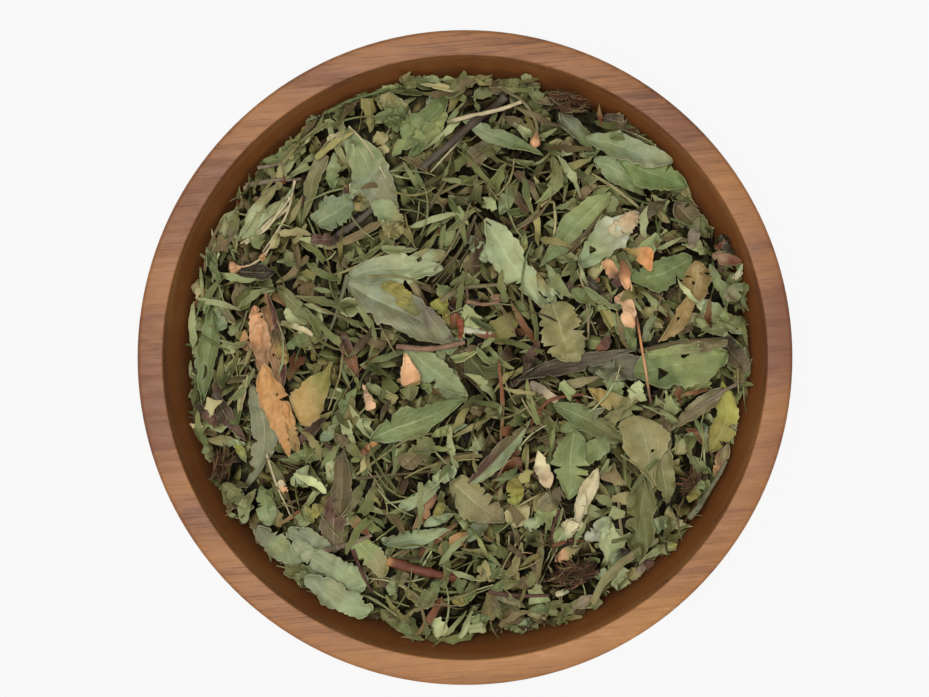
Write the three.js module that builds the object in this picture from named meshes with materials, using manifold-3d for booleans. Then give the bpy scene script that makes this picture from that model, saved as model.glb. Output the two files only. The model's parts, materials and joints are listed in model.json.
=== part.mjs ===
// A turned wooden bowl filled with dried, cut stevia leaf.
//
// The bowl is one turned solid with a flat foot. In it lies a bed of small leaf cuttings, matted
// together as one body. On the bed rest the whole leaves, the stems and the dried flower tufts,
// each a piece of its own that lies loose on what is under it.
//
// Millimetres, +Z up. The origin is the middle of the bowl's flat foot.

import * as THREE from "three";
import { mergeVertices } from "three/addons/utils/BufferGeometryUtils.js";
import Module from "manifold-3d";

const wasm = await Module();
wasm.setup();

// ---------------------------------------------------------------- driving dimensions

const BOWL_RADIUS = 75; // at the rim, the widest place
const BOWL_HEIGHT = 55;
const RIM_WIDTH = 5.7;
const RIM_OUTER_ROUND = 2.4;
const RIM_INNER_ROUND = 1.4;
const FOOT_RADIUS = 33;
const FLOOR_THICKNESS = 7;
const BELLY_RUN = 15; // how far the foot's edge runs out level before it climbs
const BELLY_TUCK = 9; // how far the side's upper bend lies inside the rim
const BELLY_BEND = 20; // height of that bend
const INSIDE_TUCK = 7; // how far the inside's upper bend lies inside the rim
const INSIDE_BEND = 26; // height of that bend
const INSIDE_FLOOR_RADIUS = 46; // where the inside bends into the floor
const BOWL_SEGMENTS = 48;

const FILL_DEPTH = 13; // from the rim down to the edge of the bed
const DOME_RISE = 5; // of the bed's middle above its edge
const BED_RIPPLE = 0.55; // height of the bed's slow unevenness
const BED_SEGMENTS = 28;
const GAP = 0.3; // between pieces that lie on each other
const WALL_GAP = 0.5; // between the bed and the bowl

const BLADE_THICKNESS = 0.7;
const GOLDEN_ANGLE = Math.PI * (3 - Math.sqrt(5));
const CUTTINGS = 104;
const CUTTING_MARGIN = 7; // from the rim's inner edge to the outermost cutting's middle
const CUTTING_LENGTH = [9, 16];
const CUTTING_WIDTH = [4.8, 8];
const CUTTING_ARCH = [-0.4, 0.9];
const CUTTING_TWIST = [-1.6, 1.6];
const CUTTING_LIFT = 0.75; // of a cutting's middle above the bed's core
const CUTTING_TILT = 0.2; // steepest slope of a cutting along each axis, as rise over run
const END_HALF_WIDTH = 0.45; // where a blade runs out into its stalk or its tip
const LEAF_CURL = [0.3, 0.9]; // arch of a whole leaf, where its own is not given
const LEAF_TWIST = [-1.2, 1.2];
const STEEPEST_REST = 0.3; // slope that a loose leaf takes on what it rests on
const TOOTH_DEPTH = 0.14; // of the half width
const SMOOTH_BASE = 0.25; // share of a leaf's length, from its stalk, that has no teeth
const KNOT_SHARE = 0.32; // radius of a tuft's knot, as a share of the tuft's
const BRACT_SHARE = 0.42; // width of a bract, as a share of the tuft's radius
const BRACT_LEAN = [0, 0.55]; // radians above level
const SEED = 1764;

// ---------------------------------------------------------------- colours

const TONES = {
  wood: 0xa5755a,
  mix: 0x848a64,
  sage: 0x95a27c,
  mint: 0xa0b08a,
  green: 0x74834f,
  fresh: 0xa2ae7c,
  olive: 0x7f8458,
  yellow: 0x97915a,
  straw: 0x9a9468,
  cream: 0xc6bd98,
  gold: 0xa68d5a,
  tan: 0xc99a66,
  teal: 0x7d9073,
  grey: 0x8c917c,
  drab: 0x97907a,
  bark: 0x6f6450,
  dark: 0x57463f,
  red: 0x7a4430,
  peach: 0xc79a78,
};

function dryMaterial(tone, roughness = 0.85) {
  return new THREE.MeshStandardMaterial({ color: TONES[tone], roughness, metalness: 0 });
}

// ---------------------------------------------------------------- chance, with a fixed seed

// A small generator of numbers from 0 to 1 (mulberry32).
function chance(seed) {
  let state = seed >>> 0;
  return () => {
    state = (state + 0x6d2b79f5) >>> 0;
    let mixed = Math.imul(state ^ (state >>> 15), 1 | state);
    mixed = (mixed + Math.imul(mixed ^ (mixed >>> 7), 61 | mixed)) ^ mixed;
    return ((mixed ^ (mixed >>> 14)) >>> 0) / 4294967296;
  };
}

function between(draw, [low, high]) {
  return low + (high - low) * draw();
}

// ---------------------------------------------------------------- solids

function solidOf(geometry) {
  const bare = new THREE.BufferGeometry();
  bare.setAttribute("position", geometry.getAttribute("position").clone());
  bare.setIndex(geometry.index);
  const merged = mergeVertices(bare, 1e-4);
  return new wasm.Manifold(
    new wasm.Mesh({
      numProp: 3,
      vertProperties: new Float32Array(merged.attributes.position.array),
      triVerts: new Uint32Array(merged.index.array),
    }),
  );
}

// The largest body of a fused solid: the sealed pockets and the loose scraps are left out.
function geometryOf(solid) {
  const bodies = solid.decompose().sort((a, b) => b.volume() - a.volume());
  const mesh = bodies[0].getMesh();
  const geometry = new THREE.BufferGeometry();
  geometry.setAttribute("position", new THREE.BufferAttribute(mesh.vertProperties, 3));
  geometry.setIndex(new THREE.BufferAttribute(mesh.triVerts, 1));
  return geometry;
}

function fuse(geometries) {
  return geometries.map(solidOf).reduce((whole, next) => whole.add(next));
}

// ---------------------------------------------------------------- the bowl

const RIM_INNER_RADIUS = BOWL_RADIUS - RIM_WIDTH;
const INSIDE_TOP = BOWL_HEIGHT - RIM_INNER_ROUND;

// The inside of the bowl, from the rim down to the middle of its floor.
const insideCurve = new THREE.CubicBezierCurve(
  new THREE.Vector2(RIM_INNER_RADIUS, INSIDE_TOP),
  new THREE.Vector2(RIM_INNER_RADIUS - INSIDE_TUCK, INSIDE_BEND),
  new THREE.Vector2(INSIDE_FLOOR_RADIUS, FLOOR_THICKNESS),
  new THREE.Vector2(0, FLOOR_THICKNESS),
);

function bowlProfile() {
  const outline = new THREE.Path();
  outline.moveTo(0, 0);
  outline.lineTo(FOOT_RADIUS, 0);
  outline.bezierCurveTo(
    FOOT_RADIUS + BELLY_RUN,
    1,
    BOWL_RADIUS - BELLY_TUCK,
    BELLY_BEND,
    BOWL_RADIUS,
    BOWL_HEIGHT - 3 * RIM_OUTER_ROUND,
  );
  const points = outline.getPoints(6);
  const rim = new THREE.Path();
  rim.absarc(
    BOWL_RADIUS - RIM_OUTER_ROUND,
    BOWL_HEIGHT - RIM_OUTER_ROUND,
    RIM_OUTER_ROUND,
    0,
    Math.PI / 2,
  );
  rim.absarc(
    RIM_INNER_RADIUS + RIM_INNER_ROUND,
    INSIDE_TOP,
    RIM_INNER_ROUND,
    Math.PI / 2,
    Math.PI,
  );
  points.push(...rim.getPoints(2));
  points.push(...insideCurve.getPoints(7).slice(1));
  return points.filter((point, i) => i === 0 || point.distanceTo(points[i - 1]) > 1e-4);
}

// A profile turned round the upright axis, as a closed geometry with +Z up.
function turned(profile, segments) {
  const ends = profile.map((point) => new THREE.Vector2(Math.max(point.x, 0), point.y));
  return new THREE.LatheGeometry(ends, segments).rotateX(Math.PI / 2);
}

// ---------------------------------------------------------------- the bed's core

const BED_EDGE_HEIGHT = BOWL_HEIGHT - FILL_DEPTH;

// Places along the inside curve, as shares of it, from the bed's edge down to the floor's middle.
const UNDERSIDE_PLACES = [0.155, 0.3, 0.45, 0.62, 0.8, 1];
const TOP_RINGS = [0.94, 0.8, 0.6, 0.4, 0.2, 0]; // shares of the bed's radius

// The inside curve moved into the bowl by the gap.
function bedUnderside() {
  const points = [];
  for (const t of UNDERSIDE_PLACES) {
    const along = insideCurve.getTangent(t);
    const point = insideCurve.getPoint(t);
    points.push(new THREE.Vector2(point.x + along.y * WALL_GAP, point.y - along.x * WALL_GAP));
  }
  points[points.length - 1].x = 0;
  return points;
}

// The slow rise and fall of the bed, at a place on the plan.
function bedHeight(x, y) {
  const share = Math.min(1, Math.hypot(x, y) / RIM_INNER_RADIUS);
  const dome = DOME_RISE * (1 - share * share);
  const ripple = Math.sin(0.11 * x + 1.3) * Math.cos(0.13 * y) + 0.6 * Math.sin(0.21 * y - 0.17 * x);
  return BED_EDGE_HEIGHT + dome + BED_RIPPLE * ripple * (1 - share ** 6);
}

function bedCore() {
  const underside = bedUnderside();
  const edge = underside[0].x;
  const top = TOP_RINGS.map((share) => new THREE.Vector2(share * edge, BOWL_HEIGHT));
  const core = turned([...underside.reverse(), ...top], BED_SEGMENTS);
  const places = core.getAttribute("position");
  for (let i = 0; i < places.count; i++) {
    if (places.getZ(i) < BOWL_HEIGHT) continue;
    places.setZ(i, bedHeight(places.getX(i), places.getY(i)));
  }
  return core;
}

// ---------------------------------------------------------------- blades

// How wide a leaf is along its length, as a share of its widest place, from stalk to tip.
const OUTLINES = {
  ovate: [0.75, 0.95],
  lance: [0.85, 1.15],
  spatula: [1.5, 0.55],
  scrap: [0.28, 0.3],
};

function widthShare(outline, t) {
  const [rise, fall] = OUTLINES[outline];
  const widest = rise / (rise + fall);
  const peak = widest ** rise * (1 - widest) ** fall;
  return (t ** rise * (1 - t) ** fall) / peak;
}

// A flat sheet given thickness. Both faces keep the same split into triangles.
function thickened(sheet, thickness) {
  const places = sheet.getAttribute("position");
  const count = places.count;
  const points = new Float32Array(count * 6);
  for (let i = 0; i < count; i++) {
    points.set([places.getX(i), places.getY(i), places.getZ(i) + thickness / 2], 3 * i);
    points.set([places.getX(i), places.getY(i), places.getZ(i) - thickness / 2], 3 * (i + count));
  }
  const upper = Array.from(sheet.index.array);
  const faces = [...upper];
  const edges = new Map();
  for (let i = 0; i < upper.length; i += 3) {
    const [a, b, c] = upper.slice(i, i + 3);
    faces.push(c + count, b + count, a + count);
    edges.set(a + "/" + b, [a, b]);
    edges.set(b + "/" + c, [b, c]);
    edges.set(c + "/" + a, [c, a]);
  }
  for (const [from, to] of edges.values()) {
    if (edges.has(to + "/" + from)) continue;
    faces.push(to, from, from + count, to, from + count, to + count);
  }
  const geometry = new THREE.BufferGeometry();
  geometry.setAttribute("position", new THREE.BufferAttribute(points, 3));
  geometry.setIndex(faces);
  return geometry;
}

// A leaf blade from (0, 0) along +Y, with toothed edges.
// bow bends it sideways, arch lifts its middle, cup lifts its edges and twist turns its tip.
function blade({ outline, length, width, bow = 0, arch = 0, cup = 0, twist = 0, rows = 8, columns = 2 }) {
  const sheet = new THREE.PlaneGeometry(1, 1, columns, rows);
  const places = sheet.getAttribute("position");
  for (let i = 0; i < places.count; i++) {
    const across = 2 * places.getX(i);
    const t = places.getY(i) + 0.5;
    const row = Math.round(t * rows);
    const tooth = row % 2 || t < SMOOTH_BASE ? 1 : 1 - TOOTH_DEPTH;
    const half = Math.max(END_HALF_WIDTH, 0.5 * width * widthShare(outline, t) * tooth);
    const lift = arch * 4 * t * (1 - t) + cup * across * across * (half / (0.5 * width));
    const turn = twist * (t - 0.5) * across * (half / (0.5 * width));
    places.setXYZ(i, across * half - bow * 4 * t * (1 - t), t * length, lift + turn);
  }
  return thickened(sheet, BLADE_THICKNESS);
}

// Turns a blade that lies along +Y so that it runs from one place on the plan to another.
function laid(geometry, from, to) {
  const heading = Math.atan2(to[1] - from[1], to[0] - from[0]) - Math.PI / 2;
  return geometry.rotateZ(heading).translate(from[0], from[1], 0);
}

// ---------------------------------------------------------------- the bed

// One small cutting for each place of an even spiral, tilted at random, its low side in the core.
function cuttings() {
  const draw = chance(SEED);
  const reach = RIM_INNER_RADIUS - CUTTING_MARGIN;
  const made = [];
  for (let i = 0; i < CUTTINGS; i++) {
    const radius = reach * Math.sqrt((i + 0.5) / CUTTINGS);
    const angle = i * GOLDEN_ANGLE + 0.5 * draw();
    const x = radius * Math.cos(angle);
    const y = radius * Math.sin(angle);
    const length = between(draw, CUTTING_LENGTH);
    const width = between(draw, CUTTING_WIDTH);
    const piece = blade({
      outline: draw() < 0.5 ? "scrap" : "ovate",
      length,
      width,
      arch: between(draw, CUTTING_ARCH),
      twist: between(draw, CUTTING_TWIST),
      rows: 4,
      columns: 1,
    });
    const slope = () => between(draw, [-CUTTING_TILT, CUTTING_TILT]);
    const tilted = new THREE.Matrix4().makeShear(0, slope(), 0, slope(), 0, 0);
    piece.translate(0, -length / 2, 0).applyMatrix4(tilted).rotateZ(2 * Math.PI * draw());
    made.push(piece.translate(x, y, bedHeight(x, y) + CUTTING_LIFT));
  }
  return made;
}

// The room inside the bowl, a little clear of its wall, which trims what would touch the wood.
function roomInside() {
  const wall = bedUnderside().reverse();
  const top = [new THREE.Vector2(RIM_INNER_RADIUS - 1.5, BOWL_HEIGHT), new THREE.Vector2(0, BOWL_HEIGHT)];
  return solidOf(turned([...wall, ...top], BOWL_SEGMENTS));
}

function bed() {
  return geometryOf(fuse([bedCore(), ...cuttings()]).intersect(roomInside()));
}

// ---------------------------------------------------------------- resting on what is below

const CELL = 0.3;
const PLAN_HALF = 75;
const CELLS = Math.round((2 * PLAN_HALF) / CELL) + 1;
const ground = new Float32Array(CELLS * CELLS).fill(BED_EDGE_HEIGHT - 5); // highest surface so far

function cellOf(distance) {
  return Math.round((distance + PLAN_HALF) / CELL);
}

// Points spread over a geometry's triangles, closer together than a cell.
function surfacePoints(geometry) {
  const places = geometry.getAttribute("position");
  const corners = geometry.index.array;
  const points = [];
  const [a, b, c, point] = [0, 1, 2, 3].map(() => new THREE.Vector3());
  for (let i = 0; i < corners.length; i += 3) {
    a.fromBufferAttribute(places, corners[i]);
    b.fromBufferAttribute(places, corners[i + 1]);
    c.fromBufferAttribute(places, corners[i + 2]);
    const longest = Math.max(a.distanceTo(b), b.distanceTo(c), c.distanceTo(a));
    const steps = Math.ceil(longest / (0.8 * CELL));
    for (let u = 0; u <= steps; u++) {
      for (let v = 0; v <= steps - u; v++) {
        const w = steps - u - v;
        point.set(0, 0, 0).addScaledVector(a, u).addScaledVector(b, v).addScaledVector(c, w);
        points.push(point.divideScalar(steps).toArray());
      }
    }
  }
  return points;
}

function raiseGround(geometry) {
  for (const [x, y, z] of surfacePoints(geometry)) {
    const column = cellOf(x);
    const line = cellOf(y);
    for (let i = column - 1; i <= column + 1; i++) {
      for (let j = line - 1; j <= line + 1; j++) {
        ground[i * CELLS + j] = Math.max(ground[i * CELLS + j], z);
      }
    }
  }
}

// The plane, as height and two slopes about a middle, nearest to the ground under the points.
function planeUnder(points, middle) {
  const sums = new THREE.Matrix3().set(0, 0, 0, 0, 0, 0, 0, 0, 0);
  const right = new THREE.Vector3();
  for (const [x, y] of points) {
    const row = [1, x - middle.x, y - middle.y];
    const height = ground[cellOf(x) * CELLS + cellOf(y)];
    for (let i = 0; i < 3; i++) {
      right.setComponent(i, right.getComponent(i) + row[i] * height);
      for (let j = 0; j < 3; j++) {
        sums.elements[3 * j + i] += row[i] * row[j];
      }
    }
  }
  return right.applyMatrix3(sums.invert());
}

// Lowers a loose piece onto the ground, sloped as the ground is under it, and adds it to the ground.
function rest(geometry) {
  geometry.computeBoundingBox();
  const middle = geometry.boundingBox.getCenter(new THREE.Vector3());
  const points = surfacePoints(geometry);
  const plane = planeUnder(points, middle);
  const steep = Math.max(1, Math.hypot(plane.y, plane.z) / STEEPEST_REST);
  const slopeX = plane.y / steep;
  const slopeY = plane.z / steep;
  const places = geometry.getAttribute("position");
  const sloped = (x, y, z) => z + slopeX * (x - middle.x) + slopeY * (y - middle.y);
  let clear = -Infinity;
  for (const [x, y, z] of points) {
    clear = Math.max(clear, ground[cellOf(x) * CELLS + cellOf(y)] - sloped(x, y, z));
  }
  for (let i = 0; i < places.count; i++) {
    const [x, y, z] = [places.getX(i), places.getY(i), places.getZ(i)];
    places.setZ(i, sloped(x, y, z) + clear + GAP);
  }
  raiseGround(geometry);
  return geometry;
}

// ---------------------------------------------------------------- whole leaves

// From the lowest to the topmost. from is the stalk end and to the tip, on the plan.
const LEAVES = {
  left_edge: { tone: "green", outline: "lance", from: [-59, 12], to: [-61, -11], width: 5 },
  olive_edge: { tone: "olive", outline: "ovate", from: [49, 36], to: [57, 28], width: 6 },
  yellow_edge: { tone: "yellow", outline: "ovate", from: [56.5, -22.5], to: [59.5, -5.5], width: 6, bow: -2 },
  grey_hanging: { tone: "grey", outline: "lance", from: [-49.5, -6], to: [-51, -31], width: 6.5, bow: 3.5 },
  teal_toothed: { tone: "teal", outline: "scrap", from: [-34.5, 31], to: [-26, 36], width: 7.5 },
  olive_strap: { tone: "drab", outline: "lance", from: [-32, 50.5], to: [-38, 31], width: 3.6 },
  grey_slender: { tone: "grey", outline: "lance", from: [22, 57], to: [30, 48], width: 3.6 },
  sage_middle: { tone: "sage", outline: "lance", from: [30, 46], to: [42, 37.5], width: 6, bow: 1 },
  green_upper: { tone: "green", outline: "ovate", from: [37.5, 45], to: [51, 39.5], width: 8 },
  sage_upper: { tone: "sage", outline: "ovate", from: [28, 50.5], to: [47, 44.5], width: 7, cup: 1.2 },
  yellow_green_long: { tone: "green", outline: "lance", from: [33.5, 38.5], to: [17, 21], width: 6.5 },
  cream_tipped: { tone: "cream", outline: "ovate", from: [27, 22], to: [40, 33], width: 7, cup: 1 },
  green_right: { tone: "green", outline: "ovate", from: [53, 23], to: [37.5, 18], width: 8, bow: 1 },
  gold: { tone: "gold", outline: "lance", from: [55.5, 21], to: [45, 3.5], width: 6.5, bow: 2 },
  green_broad: { tone: "green", outline: "ovate", from: [37, -3.5], to: [61, 1], width: 10, bow: -1 },
  dark_folded: { tone: "dark", outline: "lance", from: [12, -5.5], to: [40, 1.5], width: 3.6, bow: 1 },
  green_ragged: { tone: "olive", outline: "ovate", from: [-5, 60], to: [-17, 47], width: 10, arch: 1 },
  pale_broad: { tone: "sage", outline: "ovate", from: [-27, 53], to: [-15, 31], width: 9.5, arch: 1 },
  teal_curled: { tone: "teal", outline: "lance", from: [-0.5, 54.5], to: [18, 46.5], width: 4 },
  grey_long: { tone: "grey", outline: "lance", from: [-27.5, 18], to: [-2, 4.5], width: 8, cup: 1.4 },
  sage_centre: { tone: "sage", outline: "ovate", from: [-14, 2.5], to: [0.5, -9], width: 7, cup: 1 },
  mint_centre: { tone: "mint", outline: "ovate", from: [-27, 18], to: [-6, 23], width: 6.5, cup: 1.5 },
  fresh_long: { tone: "fresh", outline: "lance", from: [4.5, 32], to: [17.5, 11.5], width: 8, cup: 2 },
  crumpled: { tone: "straw", outline: "scrap", from: [20, 12.5], to: [24.5, -1], width: 10, arch: 2 },
  sage_right: { tone: "sage", outline: "lance", from: [20.5, -10.5], to: [38, -20], width: 5.5 },
  spatulate_under: { tone: "olive", outline: "lance", from: [41.5, -29], to: [42, -47], width: 6.5 },
  spatulate_side: { tone: "straw", outline: "lance", from: [47, -34], to: [45, -16.5], width: 5 },
  spatulate: { tone: "straw", outline: "spatula", from: [43.5, -31], to: [39, -13.5], width: 9.5 },
  spear: { tone: "drab", outline: "lance", from: [60, -7], to: [47.5, -17], width: 4 },
  green_lower: { tone: "mint", outline: "ovate", from: [25, -17], to: [24, -33], width: 8.5, arch: 1 },
  cream_lower: { tone: "cream", outline: "lance", from: [30.5, -25.5], to: [25, -40], width: 4 },
  tan_broad: { tone: "drab", outline: "ovate", from: [-3.5, -29], to: [9, -38.5], width: 9 },
  purple_folded: { tone: "dark", outline: "lance", from: [0.5, -29], to: [15, -14], width: 4.5, bow: -1 },
  green_veined: { tone: "green", outline: "lance", from: [-22, -19], to: [0, -10], width: 7.5, cup: 1.2 },
  orange_tipped: { tone: "olive", outline: "ovate", from: [-12.5, -10], to: [-13, 0.5], width: 5 },
  yellow_broad: { tone: "yellow", outline: "ovate", from: [-30.5, -0.5], to: [-41, -14], width: 9 },
  tan_long: { tone: "tan", outline: "lance", from: [-48, 12.5], to: [-39, -23], width: 10, bow: -1, arch: 2 },
  grey_brown: { tone: "bark", outline: "lance", from: [-29, -37], to: [-28, -21], width: 5 },
  teal_lower: { tone: "teal", outline: "lance", from: [-19, -43.5], to: [-3.5, -40], width: 4.5 },
  sage_toothed_1: { tone: "sage", outline: "ovate", from: [-48, -38.5], to: [-36.5, -49.5], width: 8 },
  sage_toothed_2: { tone: "sage", outline: "ovate", from: [-42, -39], to: [-30, -43], width: 6 },
  sage_toothed_3: { tone: "sage", outline: "ovate", from: [-38, -45], to: [-23, -52.5], width: 7 },
  sage_toothed_4: { tone: "sage", outline: "ovate", from: [-34, -50.5], to: [-21, -57], width: 6.5 },
};

function leaf(shape, order) {
  const draw = chance(SEED + order);
  const length = Math.hypot(shape.to[0] - shape.from[0], shape.to[1] - shape.from[1]);
  const curl = between(draw, LEAF_CURL);
  const twist = between(draw, LEAF_TWIST);
  const made = blade({ arch: curl, cup: 0.6 * curl, twist, ...shape, length });
  return rest(laid(made, shape.from, shape.to));
}

// ---------------------------------------------------------------- stems

// way is the stem's middle line on the plan, and bud the half width of a closed bud at its start.
const STEMS = {
  pale_left: { tone: "straw", thickness: 2, way: [[-41, 35], [-46, 31], [-51, 26.5]] },
  bud_left: { tone: "tan", thickness: 1.4, bud: 1.5, way: [[-54, 21], [-50, 21.5], [-46.5, 24], [-43, 30]] },
  dark_left: { tone: "dark", thickness: 1.9, way: [[-30, 28], [-25, 31.5], [-21, 35]] },
  dark_upper: { tone: "dark", thickness: 2.6, way: [[9.5, 60.5], [0, 52.5], [-10, 44]] },
  bud_upper: { tone: "tan", thickness: 1.3, bud: 1.6, way: [[16, 48.5], [16.5, 54], [13.5, 59], [8.5, 62]] },
  cream_upper: { tone: "cream", thickness: 1.4, way: [[-4, 54.5], [7, 57], [13, 59]] },
  brown_middle: { tone: "red", thickness: 1.6, way: [[2.5, 33], [-1, 25], [-7.5, 17.5]] },
  level_middle: { tone: "red", thickness: 1.4, way: [[-15.5, 2.5], [-8, 2], [0, 3.5]] },
  red_lower: { tone: "red", thickness: 2.6, way: [[-18, -47], [-10, -49.5], [-1, -51.5]] },
  thin_right: { tone: "straw", thickness: 1.3, way: [[38.5, 15], [40.5, 4], [43, -11]] },
};

// A six-sided stem along its way, cut square at its ends, or with a bud on its first end.
function stem({ thickness, way, bud = 0 }) {
  const path = new THREE.CatmullRomCurve3(way.map(([x, y]) => new THREE.Vector3(x, y, 0)));
  const section = new THREE.Shape();
  for (let i = 0; i < 6; i++) {
    const angle = (i * Math.PI) / 3;
    section[i ? "lineTo" : "moveTo"](0.5 * thickness * Math.cos(angle), 0.5 * thickness * Math.sin(angle));
  }
  const tube = new THREE.ExtrudeGeometry(section, { extrudePath: path, steps: 7, bevelEnabled: false });
  const pieces = [tube];
  if (bud) {
    const [start, next] = way;
    const heading = Math.atan2(next[1] - start[1], next[0] - start[0]);
    const ball = new THREE.IcosahedronGeometry(bud, 1).scale(1.6, 1, 1).rotateZ(heading);
    pieces.push(ball.translate(start[0], start[1], 0));
  }
  return rest(geometryOf(fuse(pieces)));
}

// ---------------------------------------------------------------- flower tufts

const TUFTS = {
  upper: { tone: "red", at: [23.5, 57], radius: 4, bracts: 8 },
  left: { tone: "dark", at: [-55, -24], radius: 3.4, bracts: 7 },
  lower: { tone: "red", at: [26, -49.5], radius: 5.2, bracts: 10 },
  petals: { tone: "peach", at: [35.5, 15.5], radius: 4.6, bracts: 7 },
};

// Narrow bracts that spread from a small knot, each leaning up a little.
function tuft({ at, radius, bracts }, order) {
  const draw = chance(SEED + 100 + order);
  const knot = new THREE.IcosahedronGeometry(KNOT_SHARE * radius, 0);
  const pieces = [knot];
  for (let i = 0; i < bracts; i++) {
    const length = between(draw, [0.85, 1.15]) * radius;
    const width = BRACT_SHARE * radius;
    const bract = blade({ outline: "lance", length, width, arch: 0.5, rows: 3, columns: 1 });
    const lean = between(draw, BRACT_LEAN);
    pieces.push(bract.rotateX(lean).rotateZ(((i + 0.4 * draw()) / bracts) * 2 * Math.PI));
  }
  return rest(geometryOf(fuse(pieces)).translate(at[0], at[1], 0));
}

// ---------------------------------------------------------------- the whole

const stevia = new THREE.Group();

function add(name, geometry, material) {
  const piece = new THREE.Mesh(geometry, material);
  piece.name = name;
  stevia.add(piece);
  return piece;
}

// Each piece of a table, in the table's order, so that a later piece rests on the earlier ones.
function addAll(prefix, table, made) {
  Object.entries(table).forEach(([name, shape], order) => {
    add(prefix + name, made(shape, order), dryMaterial(shape.tone));
  });
}

const bedGeometry = bed();
raiseGround(bedGeometry);

add("bowl", turned(bowlProfile(), BOWL_SEGMENTS), dryMaterial("wood", 0.55));
add("leaf_bed", bedGeometry, dryMaterial("mix"));
addAll("stem_", STEMS, stem);
addAll("leaf_", LEAVES, leaf);
addAll("tuft_", TUFTS, tuft);

export default stevia;
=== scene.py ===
# %% [markdown]
# # A turned wooden bowl filled with dried, cut stevia leaf
#
# The bowl and every whole leaf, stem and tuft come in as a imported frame: plain solids at their real
# size and place. This lesson gives each of them its finished shape and surface. The bowl gets a
# smooth turned form and a grain that runs through the wood. The bed becomes a deep litter of several
# thousand small cuttings. The leaves get toothed edges, veins and the curl of dry leaf.
#
# Loading the frame selects its nodes, and an operator acts on all that is selected, so everything is
# deselected before anything is modelled.

# %% Load the frame
import json
import math

import bmesh
import bpy
import numpy as np
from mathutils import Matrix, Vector
from mathutils.bvhtree import BVHTree

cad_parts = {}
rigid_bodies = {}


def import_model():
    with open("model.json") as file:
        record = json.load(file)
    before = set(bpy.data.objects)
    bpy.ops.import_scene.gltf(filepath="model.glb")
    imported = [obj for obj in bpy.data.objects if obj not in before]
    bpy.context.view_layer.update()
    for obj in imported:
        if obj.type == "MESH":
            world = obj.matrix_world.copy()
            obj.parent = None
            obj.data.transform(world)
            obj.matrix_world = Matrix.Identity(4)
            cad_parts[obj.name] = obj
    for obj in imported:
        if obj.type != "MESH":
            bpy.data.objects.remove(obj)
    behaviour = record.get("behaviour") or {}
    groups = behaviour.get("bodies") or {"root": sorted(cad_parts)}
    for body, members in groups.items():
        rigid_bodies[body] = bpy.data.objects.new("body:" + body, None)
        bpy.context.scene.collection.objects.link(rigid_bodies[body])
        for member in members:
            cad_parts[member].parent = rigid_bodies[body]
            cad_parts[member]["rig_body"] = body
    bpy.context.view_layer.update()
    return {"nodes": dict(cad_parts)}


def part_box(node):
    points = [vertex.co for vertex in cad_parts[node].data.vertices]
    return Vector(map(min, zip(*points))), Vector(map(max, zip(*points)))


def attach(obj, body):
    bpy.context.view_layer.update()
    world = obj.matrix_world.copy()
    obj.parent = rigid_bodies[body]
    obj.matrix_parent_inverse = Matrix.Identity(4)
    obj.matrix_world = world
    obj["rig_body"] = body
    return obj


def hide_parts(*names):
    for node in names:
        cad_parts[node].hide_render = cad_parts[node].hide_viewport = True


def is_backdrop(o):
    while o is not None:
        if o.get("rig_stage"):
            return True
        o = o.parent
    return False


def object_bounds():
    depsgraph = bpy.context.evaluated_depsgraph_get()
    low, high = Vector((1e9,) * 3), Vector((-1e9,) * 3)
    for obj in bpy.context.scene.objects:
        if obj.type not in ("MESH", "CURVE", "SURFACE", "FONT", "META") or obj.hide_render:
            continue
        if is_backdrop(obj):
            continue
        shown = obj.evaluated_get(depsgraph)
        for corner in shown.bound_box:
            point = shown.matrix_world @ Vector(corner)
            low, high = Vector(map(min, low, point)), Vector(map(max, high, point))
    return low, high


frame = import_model()
bpy.ops.object.select_all(action="DESELECT")
MM = 0.001

# %% [markdown]
# ## Camera, floor and light
#
# The bowl is seen from straight above. The distance follows from the lens and from how much of the
# picture's width the rim takes up. The bowl's middle lies a little below the picture's middle, so the
# camera is moved by that much instead of being shifted.
#
# The floor is white and gives off a little light of its own, as a lit white table does. That keeps
# it evenly pale right up to the bowl. One large soft light hangs almost straight above, a little to
# the left, a weaker one fills in from the front, and the pale sky around softens the shadows.

# %% Camera
PICTURE_WIDTH, PICTURE_HEIGHT = 929, 697
RIM_WIDTH_IN_PICTURE = 655
BOWL_MIDDLE_IN_PICTURE = (465, 357.5)
LENS, SENSOR = 85, 36

RIM_OUTER_ROUND = 0.9 * MM

bowl_low, bowl_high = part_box("bowl")
rim_height = bowl_high[2]
rim_radius = (bowl_high[0] - bowl_low[0]) / 2
widest_height = rim_height - RIM_OUTER_ROUND
picture_scale = 2 * rim_radius / RIM_WIDTH_IN_PICTURE
camera_height = widest_height + picture_scale * PICTURE_WIDTH * LENS / SENSOR

bpy.ops.object.camera_add(
    location=(
        (PICTURE_WIDTH / 2 - BOWL_MIDDLE_IN_PICTURE[0]) * picture_scale,
        (BOWL_MIDDLE_IN_PICTURE[1] - PICTURE_HEIGHT / 2) * picture_scale,
        camera_height,
    ),
    rotation=(0, 0, 0),
)
camera = bpy.context.object
camera.name = "camera"
camera.data.lens = LENS
camera.data.sensor_width = SENSOR
camera.data.clip_start = 0.01
bpy.context.scene.camera = camera
bpy.context.scene.view_settings.view_transform = "Standard"
print("camera height in mm:", round(camera_height / MM))

# %% Floor
FLOOR_SIZE = 4.0
FLOOR_DROP = 0.2 * MM
FLOOR_TONE = 0.03
FLOOR_GLOW = 0.915


def new_finish(name, values):
    """A material, its node tree and its main shader, whose inputs get these values."""
    finish = bpy.data.materials.new(name)
    finish.use_nodes = True
    shader = finish.node_tree.nodes["Principled BSDF"]
    for label, value in values.items():
        shader.inputs[label].default_value = value
    return finish, finish.node_tree, shader


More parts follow.
